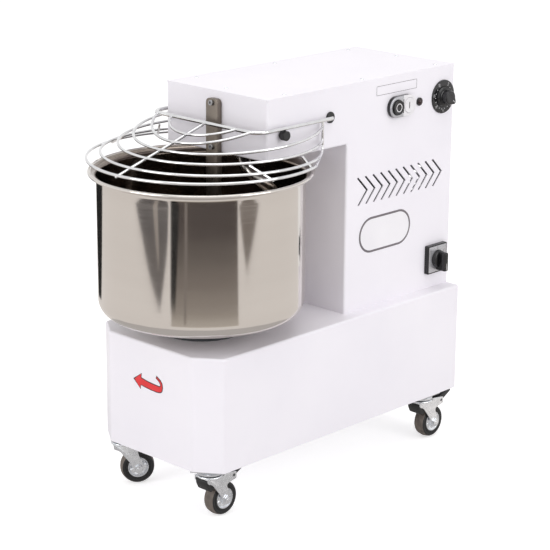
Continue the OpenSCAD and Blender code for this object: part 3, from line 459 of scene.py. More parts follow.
sticker_red = finish(
    "sticker_red", tone(222, 38, 44), tone(234, 50, 54), 0.32, 0.4, 500, 0.00001, patches=60.0,
)
sticker_dark = finish("sticker_dark_red", tone(44, 10, 18), tone(58, 14, 22), 0.34, 0.42, 500, 0.00001)
sticker_grey = finish("sticker_grey", tone(104, 98, 104), tone(120, 114, 118), 0.36, 0.46, 600, 0.00001)
sticker_white = finish("sticker_white", tone(240, 238, 242), tone(247, 245, 248), 0.28, 0.36, 600, 0.00001)
arrow_lower = 0.001 * np.array([
    (-41.3, 225.2), (-22.9, 209.8), (-22.3, 217.0), (-1.3, 214.3), (21.9, 213.2), (31.8, 216.4),
    (34.0, 226.0), (32.4, 234.0), (27.9, 238.8), (17.9, 244.2),
])
arrow_upper = 0.001 * np.array([
    (-41.3, 225.2), (-19.6, 239.7), (-21.1, 231.8), (-1.1, 228.3), (18.0, 227.2), (25.2, 226.8),
    (27.0, 228.4), (26.6, 231.0), (23.4, 234.4), (15.9, 239.2),
])
arrow_rounding = 0.001 * np.array([0.1, 0.1, 0.1, 9, 7, 4, 3, 3, 3, 0.1])
arrow_line = 0.0017


def band(lower, upper, low, high):
    """A closed band between two edges that run side by side, raised from low to high."""
    edges = [filleted(edge, arrow_rounding, closed=False) for edge in (lower, upper)]
    corners = [(edges[0], low), (edges[1], low), (edges[1], high), (edges[0], high)]
    return np.stack([np.column_stack([edge, np.full(len(edge), h)]) for edge, h in corners], 1)


arrow_width = np.linalg.norm(arrow_upper - arrow_lower, axis=1, keepdims=True)
arrow_across = (arrow_upper - arrow_lower) / np.maximum(arrow_width, 1e-6)
arrow_cut = arrow_across * np.minimum(arrow_line, arrow_width * 0.3)
arrow_ends = np.zeros((len(arrow_lower), 2))
arrow_ends[0] = (2.2 * arrow_line, 0)
arrow_ends[1] = (-0.8 * arrow_line, 0)
arrow_ends[-1] = (0.8 * arrow_line, -0.4 * arrow_line)
base_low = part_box("base_shell")[0]
facing_front = ((1, 0, 0), (0, 0, 1), (0, -1, 0))
piece(
    "turning_arrow",
    [
        solid(put(band(arrow_lower, arrow_upper, 0, 0.00025), facing_front, (0, base_low.y, 0))),
        solid(put(
            band(arrow_lower + arrow_cut + arrow_ends, arrow_upper - arrow_cut + arrow_ends, 0.0001, 0.0004),
            facing_front, (0, base_low.y, 0),
        ), 1),
    ],
    [sticker_dark, sticker_red], "frame",
)

# ---------- Casters ----------
# Four swivel casters of bright zinc-plated pressed steel. A fork with a round crown and two
# cheeks turns under each plate, a cast hub runs on the axle bolt, and the tyre is grey-brown
# rubber on a black rim. The two casters on the right have a black brake pedal over the wheel.
zinc = finish(
    "bright_zinc", tone(222, 224, 228), tone(238, 240, 243), 0.16, 0.30, 500, 0.00001,
    patches=120.0, Metallic=1.0,
)
tread_rubber = finish(
    "tread_rubber", tone(96, 88, 82), tone(122, 112, 104), 0.55, 0.75, 900, 0.00012, patches=90.0,
)
rim_rubber = finish("rim_rubber", tone(20, 20, 21), tone(34, 33, 34), 0.45, 0.62, 900, 0.00008, patches=60.0)
black_plastic = finish(
    "black_grained_plastic", tone(24, 24, 26), tone(36, 36, 38), 0.36, 0.52, 1500, 0.00006, patches=40.0,
)


def turned(profile, steps=64, shape=None):
    """A turned shape: each (radius, height) of the profile goes once round the local z axis.
    shape, if given, multiplies the radius by a number for each row and each angle."""
    angle = np.arange(steps) * 2 * np.pi / steps
    radius, height = np.asarray(profile, float).T
    reach = radius[:, None] * (np.ones((len(radius), steps)) if shape is None else shape(angle))
    return np.stack([reach * np.cos(angle), reach * np.sin(angle), np.repeat(height[:, None], steps, 1)], -1)


def rod(radius, low, high, steps):
    """A plain round rod along local z."""
    return turned([(0, low), (radius, low), (radius, high), (0, high)], steps)


def hexed(rows):
    """For turned(): the rows that are marked 1 become hexagons with the same flats' distance."""
    def shape(angle):
        """One over the cosine of the angle from the nearest flat's middle."""
        flats = 1 / np.cos((angle + np.pi / 6) % (np.pi / 3) - np.pi / 6)
        return np.where(np.asarray(rows)[:, None] > 0, flats, 1.0)
    return shape


def quarter(radius_at, height_at, radius, start, end, steps=5):
    """Points of an arc in the (radius, height) plane, about a centre, between two degrees."""
    turn = np.radians(np.linspace(start, end, steps))
    return list(zip(radius_at + radius * np.cos(turn), height_at + radius * np.sin(turn)))


trail = 0.025
wheel_r = 0.031
tyre_half = 0.0115
hub_r = 0.0186
cheek_in, cheek_out = 0.0145, 0.0170
crown_z = 0.0802
pedal_y, pedal_z = trail + 0.017, crown_z - 0.009
along_x = ((0, 1, 0), (0, 0, 1), (1, 0, 0))


def wheel_solids():
    """A wheel about its axle, which runs along local x: tyre 0, rim 1, hub 2."""
    shoulder = 0.0042
    tread = [(wheel_r - 0.0005, -0.004), (wheel_r, 0), (wheel_r - 0.0005, 0.004)]
    side = quarter(wheel_r - 0.0012 - shoulder, -tyre_half + shoulder, shoulder, -90, 0)
    other = [(r, -h) for r, h in reversed(side)]
    lip = 0.0045
    tyre = [(hub_r + lip, -tyre_half + 0.0004)] + side + tread + other + [(hub_r + lip, tyre_half - 0.0004)]
    tyre_sides = np.repeat([radius < wheel_r - 0.0024 for radius, _ in tyre], 96).astype(int)
    rim = [
        (hub_r + lip, -tyre_half + 0.0012), (hub_r + lip - 0.001, -tyre_half - 0.0002),
        (hub_r + 0.0008, -tyre_half - 0.0002),
    ]
    rim += [(r, -h) for r, h in reversed(rim)]
    hub_profile = [
        (0.0043, -cheek_in + 0.0006), (0.0078, -cheek_in + 0.0006), (0.0088, -0.0092), (0.0115, -0.0078),
        (0.0150, -0.0082), (0.0170, -0.0106), (0.0178, -0.0118), (hub_r, -0.0118), (hub_r + 0.0008, -0.0106),
    ]
    hub_profile += [(r, -h) for r, h in reversed(hub_profile)]
    hub = turned(hub_profile, 80)
    radius = np.hypot(hub[..., 0], hub[..., 1])
    ribbed = np.clip(1 - np.abs(radius - 0.0125) / 0.0035, 0, 1)
    swell = 0.0011 * ribbed * np.clip(np.cos(5 * np.arctan2(hub[..., 1], hub[..., 0])) * 2.5, -1, 1)
    hub[..., 2] += np.sign(hub[..., 2]) * swell
    return [solid(turned(tyre, 96), tyre_sides, True), solid(turned(rim, 80), 1, True), solid(hub, 2, True)]


def fork_solids(braked):
    """A fork in its own frame, with the swivel axis at the origin and the floor at z = 0: two
    cheeks, crown, bridge and axle bolt with its nuts, all zinc 0, and the brake's shoe, black 1."""
    corners = [
        (-0.020, crown_z - 0.0002), (-0.020, crown_z - 0.010), (-0.010, crown_z - 0.013),
        (trail - 0.0098, wheel_r + 0.004), (trail - 0.0075, wheel_r - 0.009),
        (trail + 0.0075, wheel_r - 0.009), (trail + 0.0098, wheel_r + 0.003), (0.0235, crown_z - 0.021),
    ]
    fillets = [0.0005, 0.004, 0.006, 0.004, 0.007, 0.007, 0.004, 0.008]
    if braked:
        arm_front = pedal_y + 0.0065
        corners += [(arm_front, crown_z - 0.0165), (arm_front, crown_z - 0.0035), (0.024, crown_z - 0.0002)]
        fillets += [0.003, 0.003, 0.002]
    else:
        corners += [(0.0235, crown_z - 0.0002)]
        fillets += [0.001]
    outline = filleted(corners, fillets)
    made = [
        solid(put(slab(outline, low, low + cheek_out - cheek_in, 0.0006), along_x))
        for low in (-cheek_out, cheek_in)
    ]
    crown = [(0, crown_z - 0.0035), (0.0165, crown_z - 0.0035)]
    crown += quarter(0.0205, crown_z - 0.0015, 0.0022, -90, 60)
    crown += [(0.0185, crown_z + 0.0001), (0, crown_z + 0.0001)]
    made.append(solid(turned(crown, 72)))
    bridge = filleted(rectangle(-cheek_out, -0.02, cheek_out, 0.022), 0.004)
    made.append(solid(slab(bridge, crown_z - 0.0040, crown_z - 0.0010, 0.0008)))
    bolt_end = cheek_out + 0.0040
    nut = [
        (0, 0), (0.0062, 0), (0.0065, 0.0006), (0.0065, 0.0030), (0.0060, 0.0038), (0.0050, 0.0040),
        (0, 0.0040),
    ]
    thread = [
        (0, cheek_out), (0.0036, cheek_out), (0.0036, bolt_end), (0.0030, bolt_end + 0.0008),
        (0, bolt_end + 0.0008),
    ]
    for side in (-1, 1):
        hexagon = turned(nut, 48, hexed([0, 1, 1, 1, 1, 0, 0]))
        hexagon[..., 2] = side * (cheek_out + hexagon[..., 2])
        made.append(solid(put(hexagon, along_x, (0, trail, wheel_r))))
        stud = turned(thread, 24)
        stud[..., 2] *= side
        made.append(solid(put(stud, along_x, (0, trail, wheel_r))))
    made.append(solid(put(rod(0.004, -cheek_out, cheek_out, 32), along_x, (0, trail, wheel_r))))
    if braked:
        shoe = filleted([
            (-0.0205, crown_z - 0.0050), (-0.0200, crown_z - 0.0130), (-0.0140, crown_z - 0.0255),
            (-0.0080, crown_z - 0.0270), (0.0020, crown_z - 0.0180), (0.0060, crown_z - 0.0050),
        ], 0.0035)
        made.append(solid(put(slab(shoe, -0.0141, 0.0141, 0.0010), along_x), 1))
    return made


def pedal_solids():
    """The brake pedal in its fork's frame: a rocker of grained plastic 0 with grip ridges on its
    tread, on a zinc pin 1 through the fork's arms."""
    half = cheek_in - 0.0005
    top = crown_z + 0.0078
    rocker = filleted([
        (pedal_y - 0.0140, pedal_z - 0.0022), (pedal_y + 0.0050, pedal_z - 0.0034),
        (pedal_y + 0.0265, top - 0.0088), (pedal_y + 0.0325, top - 0.0042),
        (pedal_y + 0.0262, top), (pedal_y - 0.0080, pedal_z + 0.0050),
    ], [0.002, 0.004, 0.004, 0.003, 0.004, 0.004])
    made = [solid(put(slab(rocker, -half, half, 0.0014), along_x))]
    slope = np.array([0.0342, top - pedal_z - 0.0050])
    ridge_corners = 0.001 * np.array([(-1.2, -0.8), (1.2, -0.4), (0.9, 0.9), (-0.9, 0.6)])
    for share in (0.55, 0.68, 0.81):
        middle = np.array([pedal_y - 0.0080, pedal_z + 0.0050]) + slope * share
        ridge = filleted(middle + ridge_corners, 0.0004)
        made.append(solid(put(slab(ridge, -half + 0.003, half - 0.003, 0.0005), along_x)))
    made.append(solid(put(rod(0.0025, -cheek_out, cheek_out, 24), along_x, (0, pedal_y, pedal_z)), 1))
    return made


def placed(solids, axes, origin):
    """Every solid of a list put along new axes from an origin."""
    return [(put(points, axes, origin), *rest) for points, *rest in solids]


for corner in ("fr", "fl", "rr", "rl"):
    swivel = Vector(joints["swivel_" + corner]["pos_m"])
    low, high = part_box("caster_wheel_" + corner)
    heading = ((low + high) / 2 - swivel) / trail
    fork_axes = ((heading.y, -heading.x, 0), (heading.x, heading.y, 0), (0, 0, 1))
    foot = (swivel.x, swivel.y, 0)
    braked = "brake_" + corner in joints
    piece(
        "fork_" + corner, placed(fork_solids(braked), fork_axes, foot), [zinc, rim_rubber],
        "fork_" + corner, ["caster_fork_" + corner],
    )
    axle_at = (0, trail, wheel_r)
    piece(
        "wheel_" + corner,
        placed([(put(p, along_x, axle_at), *rest) for p, *rest in wheel_solids()], fork_axes, foot),
        [tread_rubber, rim_rubber, zinc], "wheel_" + corner, ["caster_wheel_" + corner],
    )
    if braked:
        piece(
            "pedal_" + corner, placed(pedal_solids(), fork_axes, foot), [black_plastic, zinc],
            "pedal_" + corner, ["brake_pedal_" + corner],
        )

# ---------- Column and rear panel ----------
# The column is folded from 2 mm sheet and welded, with eleven arrow-shaped cooling slots cut
# through each side. A louvred panel closes its back with six screws.
softened("column_shell", 0.004, white_coat)
softened("rear_panel", 0.0005, white_coat, everywhere=True)

# ---------- Drive inside ----------
# Out of sight are the motor, its reducer, shafts, gears, pulleys, belts and bearings. They keep
# their CAD meshes, and each gets the finish of its cast, turned, moulded or wound material.
cast_iron = finish("cast_iron", tone(74, 76, 80), tone(92, 94, 97), 0.55, 0.75, 600, 0.0002, Metallic=0.6)
turned_steel = finish(
    "turned_steel", tone(150, 150, 152), tone(182, 182, 184), 0.22, 0.40, 1200, 0.00003,
    stretch=(0.1, 0.1, 1), Metallic=1.0,
)
cast_aluminium = finish(
    "cast_aluminium", tone(128, 132, 138), tone(150, 154, 160), 0.5, 0.68, 700, 0.00015, Metallic=0.7,
)
wound_copper = finish(
    "wound_copper", tone(150, 84, 48), tone(196, 116, 72), 0.35, 0.55, 900, 0.0002, Metallic=0.9,
)
belt_rubber = finish("belt_rubber", tone(30, 30, 31), tone(44, 43, 43), 0.6, 0.8, 800, 0.0001)
grey_plastic = finish("grey_plastic", tone(150, 150, 152), tone(170, 170, 172), 0.38, 0.5, 1200, 0.00004)
clean_zinc = finish(
    "clean_zinc", tone(212, 215, 220), tone(232, 234, 238), 0.12, 0.24, 400, 0.00004, Metallic=1.0,
)
for inside_finish, inside_names in (
    (cast_iron, ("bowl_bearing_housing", "spiral_bearing_housing", "bowl_pulley", "spiral_pulley")),
    (cast_iron, ("lower_drive_pulley", "upper_drive_pulley")),
    (turned_steel, ("drive_shaft", "intermediate_shaft", "intermediate_gear", "output_gear")),
    (turned_steel, ("bowl_spindle", "head_plate", "motor_rotor", "ball_bearings")),
    (cast_aluminium, ("gearbox_housing", "gearbox_cover", "motor_housing", "motor_end_bells")),
    (wound_copper, ("motor_stator",)),
    (belt_rubber, ("bowl_belt", "spiral_belt")),
    (black_plastic, ("motor_fan", "motor_fan_cowl", "switch_bodies")),
    (grey_plastic, ("contactors",)),
    (clean_zinc, ("caster_plates",)),
):
    for inside_name in inside_names:
        for own_slot in nodes[inside_name].material_slots:
            own_slot.link = "OBJECT"
            own_slot.material = inside_finish

# ---------- Bowl ----------
# The bowl is spun and polished from 1.6 mm stainless sheet, welded to the spindle's flange. Its
# bottom edge is rounded, and its rim flares out and ends in a rolled bead.
polished_steel = finish(
    "polished_steel", tone(210, 205, 200), tone(219, 214, 209), 0.07, 0.12, 1400, 0.000002,
    stretch=(0.015, 0.015, 1), Metallic=1.0,
)
bowl_height = bowl_high.z - bowl_low.z
bowl_wall, bowl_fillet, bowl_flare, bowl_bead = 0.0016, 0.028, 0.0118, 0.0032
bowl_outer = (bowl_high.x - bowl_low.x) / 2 - bowl_flare - bowl_bead
flare_x, flare_z = bowl_outer + bowl_flare, bowl_height - bowl_flare - bowl_bead
fillet_x = bowl_outer - bowl_fillet
# The inside of the bowl is the same polished steel made darker and browner: painted shade for the shade that
# falls inside the bowl.
shaded_inside_steel = finish(
    "steel_inside_painted_shade", tone(140, 130, 122), tone(156, 145, 136), 0.12, 0.20, 1400, 0.000004,
    stretch=(0.015, 0.015, 1), Metallic=1.0,
)
bowl_profile = [(0, 0), (0.06, 0), (0.11, 0)] + quarter(fillet_x, bowl_fillet, bowl_fillet, -90, 0, 17)
bowl_profile += [(bowl_outer, h) for h in np.linspace(0.05, flare_z - 0.01, 8)]
bowl_profile += quarter(flare_x, flare_z, bowl_flare, 180, 100, 14)
bowl_profile += quarter(flare_x, bowl_height - bowl_bead, bowl_bead, -80, 95, 14)
bowl_profile += quarter(flare_x, flare_z, bowl_flare + bowl_wall, 95, 180, 12)
bowl_profile += [(bowl_outer - bowl_wall, h) for h in np.linspace(flare_z - 0.01, 0.05, 8)]
bowl_profile += quarter(fillet_x, bowl_fillet, bowl_fillet - bowl_wall, 0, -90, 17)
bowl_profile += [(0.11, bowl_wall), (0.06, bowl_wall), (0, bowl_wall)]
bead_row = int(np.argmax([height for _, height in bowl_profile]))
# Faces past the bead's top, the inside wall and bottom, take the darker copy of the steel: painted shade.
bowl_inside_shade_mask = np.repeat(np.arange(len(bowl_profile) - 1) > bead_row + 1, 192).astype(int)
bowl_points, bowl_quads, _, _ = solid(turned(bowl_profile, 192) + (0, axis_y, bowl_low.z))
piece(
    "bowl_polished", [(bowl_points, bowl_quads, [], bowl_inside_shade_mask)], [polished_steel, shaded_inside_steel],
    "bowl_body", ["bowl"],
)

# ---------- Head, cover and screws ----------
# The head is one welded sheet box with a folded bend along each side. A flat steel cover lies
# on it, and domed cross-head screws hold the cover and the rear panel. Sunk ones hold the base's
# bottom plate.
column_front = axis_y + 0.236
softened("head_shell", 0.004, white_coat, split_y=column_front)
softened("top_cover", 0.0006, white_coat, everywhere=True)


def screw_solid(radius, height, shank, sunk=False):
    """A screw along local z with its head's foot at the origin: z = height (1 - (r / radius)^2)
    over the head, less a cross-shaped recess, on a shank. A sunk head lies below the face."""
    reach = radius * np.array([0.0, 0.09, 0.18, 0.27, 0.36, 0.45, 0.56, 0.68, 0.8, 0.9, 0.97, 1.0])
    rise = height * (1 - (reach / radius) ** 2) * (0.35 if sunk else 1) - (height * 0.4 if sunk else 0)
    grid = turned(np.column_stack([reach, rise]), 48)
    across = np.minimum(np.abs(grid[..., 0]), np.abs(grid[..., 1]))
    in_cross = (across < 0.13 * radius) & (np.hypot(grid[..., 0], grid[..., 1]) < 0.6 * radius)
    grid[..., 2] -= np.where(in_cross, 0.5 * height, 0)
    below = turned([(radius, -0.0002), (radius * 0.5, -0.0002), (radius * 0.5, -shank), (0, -shank)], 48)
    return solid(np.concatenate([grid, below]))


screws = []
cover_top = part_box("top_cover")[1].z
panel_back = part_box("rear_panel")[1].y
facing_up = ((1, 0, 0), (0, 1, 0), (0, 0, 1))
facing_down = ((1, 0, 0), (0, -1, 0), (0, 0, -1))
facing_back = ((-1, 0, 0), (0, 0, 1), (0, 1, 0))
cover_screw_x, panel_screw_x, plate_screw_x = 0.1065, 0.095, 0.135
domed_screw = screw_solid(0.004, 0.0016, 0.006)
sunk_screw = screw_solid(0.0038, 0.0016, 0.006, True)
for side, along in [(s, y) for s in (-1, 1) for y in (0.092, 0.290, 0.491)] + [(0, 0.060), (0, 0.507)]:
    screws.append((domed_screw, facing_up, (side * cover_screw_x, axis_y + along, cover_top)))
for side in (-1, 1):
    for up in (0.327, 0.45275, 0.5785):
        screws.append((domed_screw, facing_back, (side * panel_screw_x, panel_back, up)))
    for along in (-0.055, 0.2025, 0.510):
        screws.append((sunk_screw, facing_down, (side * plate_screw_x, axis_y + along, base_low.z)))
piece(
    "panel_screw_heads", [placed([one], axes, origin)[0] for one, axes, origin in screws], [clean_zinc],
    "frame", ["panel_screws"],
)

# ---------- Spiral hook ----------
# The hook is a 20 mm bar of stainless steel, bent cold to a rising coil. It is welded to a
# turned shank that runs up into the head's bearings. Its free end is rounded.
satin_steel = finish(
    "satin_steel", tone(178, 174, 170), tone(200, 196, 191), 0.20, 0.32, 900, 0.00002,
    patches=30.0, Metallic=1.0,
)


def tube(path, radius, sides=20, aside=(0.31, 0.95, 0.02), round_ends=True):
    """A round bar along a path. Each ring is path + radius (u cos a + v sin a), where u and v
    stand across the path, carried on from ring to ring without twist. Round ends are domes."""
    path = np.asarray(path, float)
    along = np.gradient(path, axis=0)
    along /= np.linalg.norm(along, axis=1, keepdims=True)
    across = np.cross(along, np.asarray(aside, float))
    short = np.linalg.norm(across, axis=1) < 0.05
    across[short] = np.cross(along[short], (0.02, 0.31, 0.95))
    across /= np.linalg.norm(across, axis=1, keepdims=True)
    third = np.cross(along, across)
    reach = np.full(len(path), radius)
    if round_ends:
        turn = np.radians([0, 15, 35, 55, 72, 84])
        bulge, narrow = radius * (1 - np.cos(turn)), radius * np.maximum(np.sin(turn), 0.02)
        inward = along[0] * bulge[:, None], along[-1] * bulge[:, None]
        path = np.concatenate([path[0] + inward[0], path[1:-1], (path[-1] - inward[1])[::-1]])
        reach = np.concatenate([narrow, reach[1:-1], narrow[::-1]])
        ends = len(turn)
        across, third = (
            np.concatenate([np.repeat(row[:1], ends, 0), row[1:-1], np.repeat(row[-1:], ends, 0)])
            for row in (across, third)
        )
    angle = np.arange(sides) * 2 * np.pi / sides
    around = across[:, None] * np.cos(angle)[:, None] + third[:, None] * np.sin(angle)[:, None]
    return path[:, None] + reach[:, None, None] * around


hook_axis_y = axis_y + 0.1059
hook_t = np.linspace(0, 1, 240)
hook_fall = np.minimum(1, hook_t / 0.85)
hook_angle = np.radians(450 * hook_t - 60)
hook_orbit, hook_top, hook_foot = 0.052, 0.5925, 0.3456
swing_out = np.sin(np.pi / 2 * np.minimum(1, hook_t / 0.2))
swing_in = np.cos(np.pi / 2 * np.maximum(0, hook_t - 0.8) / 0.2)
hook_reach = hook_orbit * swing_out * swing_in
hook_z = hook_top + (hook_foot - hook_top) * (hook_fall * (2 - hook_fall) * 0.15 + hook_fall * 0.85)
hook_x, hook_y = hook_reach * np.cos(hook_angle), hook_axis_y + hook_reach * np.sin(hook_angle)
hook_path = np.column_stack([hook_x, hook_y, hook_z])
shank = [(0, 0.5845), (0.0138, 0.5845), (0.015, 0.5857), (0.015, 0.697), (0.014, 0.698), (0, 0.698)]
piece(
    "hook_bar",
    [solid(tube(hook_path, 0.010, 28)), solid(turned(shank, 56) + (0, hook_axis_y, 0))],
    [satin_steel], "spiral_body", ["spiral_hook"],
)

# ---------- Breaker bar ----------
# A flat stainless bar with rounded corners stands in front of the hook and keeps the dough from
# climbing. Two socket-head screws hold it to the head's front.
bar_half, bar_low, bar_high, bar_round = 0.0145, 0.351, 0.7025, 0.009
bar_outline = filleted(
    rectangle(-bar_half, bar_low, bar_half, bar_high), [0.004, 0.004, bar_round, bar_round], 9,
)
head_front = axis_y + 0.035
brushed_steel = finish(
    "brushed_steel", tone(118, 110, 102), tone(136, 128, 119), 0.26, 0.38, 1100, 0.00001,
    stretch=(1, 1, 0.03), Metallic=1.0,
)
piece(
    "bar_brushed", [solid(put(slab(bar_outline, 0, 0.010, 0.0008), facing_front, (0, head_front, 0)))],
    [brushed_steel], "frame", ["breaker_bar"],
)
socket_screws = []
socket_head = turned([
    (0.0, 0.0), (0.0046, 0), (0.005, 0.0004), (0.005, 0.0034), (0.0045, 0.0040), (0.0026, 0.0040),
    (0.0024, 0.0038), (0.0024, 0.0016), (0, 0.0014),
], 48, hexed([0, 0, 0, 0, 0, 1, 1, 1, 0]))
socket_stem = rod(0.003, -0.0119, 0.0, 24)
for up in (0.6955, 0.6185):
    for shape in (socket_head, socket_stem):
        socket_screws.append(solid(put(shape, facing_front, (0, head_front - 0.010, up))))
piece("bar_socket_screws", socket_screws, [turned_steel], "frame", ["breaker_bar_screws"])

# ---------- Guard ----------
# The guard is bent from 7 mm and 5 mm steel wire, spot-welded and chrome-plated: a frame rod on
# two pivots, four sloping rings, two short ones, five ribs and two uprights.
chrome = finish(
    "chrome_plate", tone(214, 214, 215), tone(230, 230, 231), 0.04, 0.09, 500, 0.000006,
    patches=40.0, Metallic=1.0,
)
guard_x, head_half, wire_y = 0.131, 0.1225, 0.162
pivot_y, pivot_z, front_bar_y = 0.190, 0.664, 0.005
guard_rise = 0.059


def dense(corners, radius, gap=0.006):
    """An open line with rounded corners, with points no further apart than gap."""
    line = filleted(corners, radius, 9, closed=False)
    step = np.linalg.norm(np.diff(line, axis=0), axis=1)
    place = np.concatenate([[0], np.cumsum(step)])
    spots = np.union1d(place, np.arange(0, place[-1], gap))
    spots = spots[np.concatenate([[True], np.diff(spots) > 1e-5])]
    return np.column_stack([np.interp(spots, place, line[:, k]) for k in range(3)])


def ring_point(reach, front_z, end, angle):
    """Points of a ring: a circle of radius R in its sloping plane, through both ends and its
    front, at angles a from the front: (R sin a, R (1 - cos a) along the slope)."""
    depth = math.hypot(end[1] + reach, end[2] - front_z)
    radius = (end[0] ** 2 + depth**2) / (2 * depth)
    slope = math.atan2(end[2] - front_z, end[1] + reach)
    back = radius * (1 - np.cos(angle))
    y, z = back * math.cos(slope) - reach, front_z + back * math.sin(slope)
    return np.stack([radius * np.sin(angle), y, z], -1)


def ring_half(reach, front_z, end):
    """The angle from a ring's front to its ends: cos a = 1 - depth / R."""
    depth = math.hypot(end[1] + reach, end[2] - front_z)
    return math.acos(1 - 2 * depth**2 / (end[0] ** 2 + depth**2))


wire_r, rod_r = 0.0025, 0.0035
guard_reach = 0.199
rings = []
for share, lift in ((1, 0), (0.86, 0.12), (0.68, 0.43), (0.52, 0.8)):
    end = (guard_x, wire_y, pivot_z - guard_rise * (1 - lift))
    rings.append((-front_bar_y + guard_reach * share, pivot_z - guard_rise * share, end))
for share, end_x in ((0.37, 0.113), (0.22, 0.079)):
    end = (end_x, front_bar_y, pivot_z)
    rings.append((-front_bar_y + guard_reach * share, pivot_z - guard_rise * share, end))
guard_wires = []
for number, ring in enumerate(rings):
    half = ring_half(*ring)
    turns = np.linspace(-half, half, 97)
    path = ring_point(*ring, turns)
    if number == 0:
        top = (guard_x, wire_y + 0.0008, pivot_z - rod_r + 0.001)
        foot = (guard_x, wire_y + 0.0008, path[-1, 2])
        bend = dense([top, foot, path[-10]], 0.016)
        path = np.concatenate([bend * (-1, 1, 1), path[10:-10], bend[::-1]])
        path = np.concatenate([path[:1], path[1:][np.linalg.norm(np.diff(path, axis=0), axis=1) > 1e-5]])
    guard_wires.append(solid(tube(path, wire_r, 16, (0, 0, 1), False)))
drop = np.array([0, 0, -1.4 * wire_r])
centre_rib = np.linspace((0, front_bar_y, pivot_z), (0, front_bar_y - 0.201, pivot_z - guard_rise), 30) + drop
guard_wires.append(solid(tube(centre_rib, wire_r, 16)))
for side in (-1, 1):
    for third_ring, first_ring in ((61, 80), (96.5, 109.4)):
        inner_end = ring_point(*rings[2], math.radians(third_ring))
        outer_end = ring_point(*rings[0], math.radians(first_ring))
        rib = np.linspace(inner_end, outer_end, 16) * (side, 1, 1) + drop
        guard_wires.append(solid(tube(rib, wire_r - 0.0002, 16)))
guard_wires = [(points + (0, axis_y, 0), *rest) for points, *rest in guard_wires]
piece("guard_wires", guard_wires, [chrome], "guard_body", ["guard_rings"], 50)

inner_x = head_half - 0.020
frame_line = dense(
    [
        (-inner_x, pivot_y, pivot_z), (-guard_x, pivot_y, pivot_z), (-guard_x, front_bar_y, pivot_z),
        (guard_x, front_bar_y, pivot_z), (guard_x, pivot_y, pivot_z), (inner_x, pivot_y, pivot_z),
    ],
    np.array([0.005, 0.005, 0.022, 0.022, 0.005, 0.005]) * 1.3,
)
frame_solids = [solid(tube(frame_line + (0, axis_y, 0), rod_r, 20, (0, 0, 1), False))]
cam = turned([(0, -0.006), (0.0055, -0.006), (0.006, -0.0055), (0.006, -0.0005), (0.0055, 0), (0, 0)], 40)
for side in (-1, 1):
    cam_axes = ((0, 1, 0), (0, 0, 1), (side, 0, 0))
    frame_solids.append(solid(put(cam, cam_axes, (side * inner_x, axis_y + pivot_y, pivot_z))))
piece("guard_rod", frame_solids, [chrome], "guard_body", ["guard_frame"], 50)

bush = turned([
    (0.00355, -0.008), (0.007, -0.008), (0.007, 0.0), (0.0095, 0.0), (0.010, 0.0005), (0.010, 0.0024),
    (0.0094, 0.003), (0.00355, 0.003),
], 48)
bumper = turned([
    (0, 0), (0.0063, 0), (0.0066, 0.0004), (0.0085, 0.004), (0.0085, 0.0134), (0.0079, 0.014), (0, 0.014),
], 48)
bushes, bumpers = [], []
for side in (-1, 1):
    out_axes = ((0, 1, 0), (0, 0, 1), (side, 0, 0))
    bushes.append(solid(put(bush, out_axes, (side * head_half, axis_y + pivot_y, pivot_z)), 0, True))
    bumpers.append(solid(put(bumper, out_axes, (side * head_half, axis_y + 0.069, 0.6517))))
piece("guard_bush_pair", bushes, [black_plastic], "frame", ["guard_bushes"])
piece("guard_bumper_pair", bumpers, [rim_rubber], "frame", ["guard_bumpers"])

# ---------- Controls ----------
# Glossy black and white moulded plastic on the head's right side: a twin push button with a
# stop button that stands proud and a start button, a red lamp, a timer and a speed switch.
gloss_black = finish(
    "gloss_black", tone(16, 16, 18), tone(24, 24, 26), 0.12, 0.22, 700, 0.00001, patches=30.0,
)
white_plastic = finish(
    "white_plastic", tone(232, 230, 232), tone(240, 238, 240), 0.25, 0.35, 700, 0.00001, patches=30.0,
)
silver_plastic = finish(
    "silver_plastic", tone(176, 176, 180), tone(192, 192, 196), 0.25, 0.36, 900, 0.00001, Metallic=0.7,
)
right_x, control_z = 0.1225, 0.658


def reach_of(outline, angle):
    """The distance from the origin to an outline that goes once round it, at each angle."""
    share = np.linspace(0, 1, 24, endpoint=False)[None, :, None]
    edges = np.roll(outline, -1, 0) - outline
    outline = (outline[:, None] + edges[:, None] * share).reshape(-1, 2)
    own_angle = np.arctan2(outline[:, 1], outline[:, 0])
    return np.interp(angle, own_angle, np.hypot(outline[:, 0], outline[:, 1]), period=2 * np.pi)


def bored(outline, edge, height, holes, steps=144):
    """A plate with rolled edges and a stepped hole at its middle. Each hole row is a circle of
    (radius, height) that starts at the plate's face."""
    angle = np.arange(steps) * 2 * np.pi / steps
    turn = np.linspace(0, np.pi / 2, 5)
    rows = [(reach_of(outline, angle), 0.0)]
    for a in turn:
        rolled = inset(outline, edge * (1 - math.cos(a)))
        rows.append((reach_of(rolled, angle), height - edge * (1 - math.sin(a))))
    rows += [(np.full(steps, r), h) for r, h in holes]
    across, up = np.cos(angle), np.sin(angle)
    return np.stack([np.stack([r * across, r * up, np.full(steps, h)], -1) for r, h in rows])


def line_round(outline, width, low, high):
    """A thin raised line of this width along the inside of an outline."""
    return raised(outline, [(0, low), (0, high), (width, high), (width, low)])


def stadium(length, height, steps=33):
    """Two half circles joined by straight lines, counter-clockwise from the lower right."""
    turn = np.linspace(-np.pi / 2, np.pi / 2, steps)
    arc = height / 2 * np.stack([np.cos(turn), np.sin(turn)], 1)
    return np.concatenate([arc + ((length - height) / 2, 0), -arc - ((length - height) / 2, 0)])


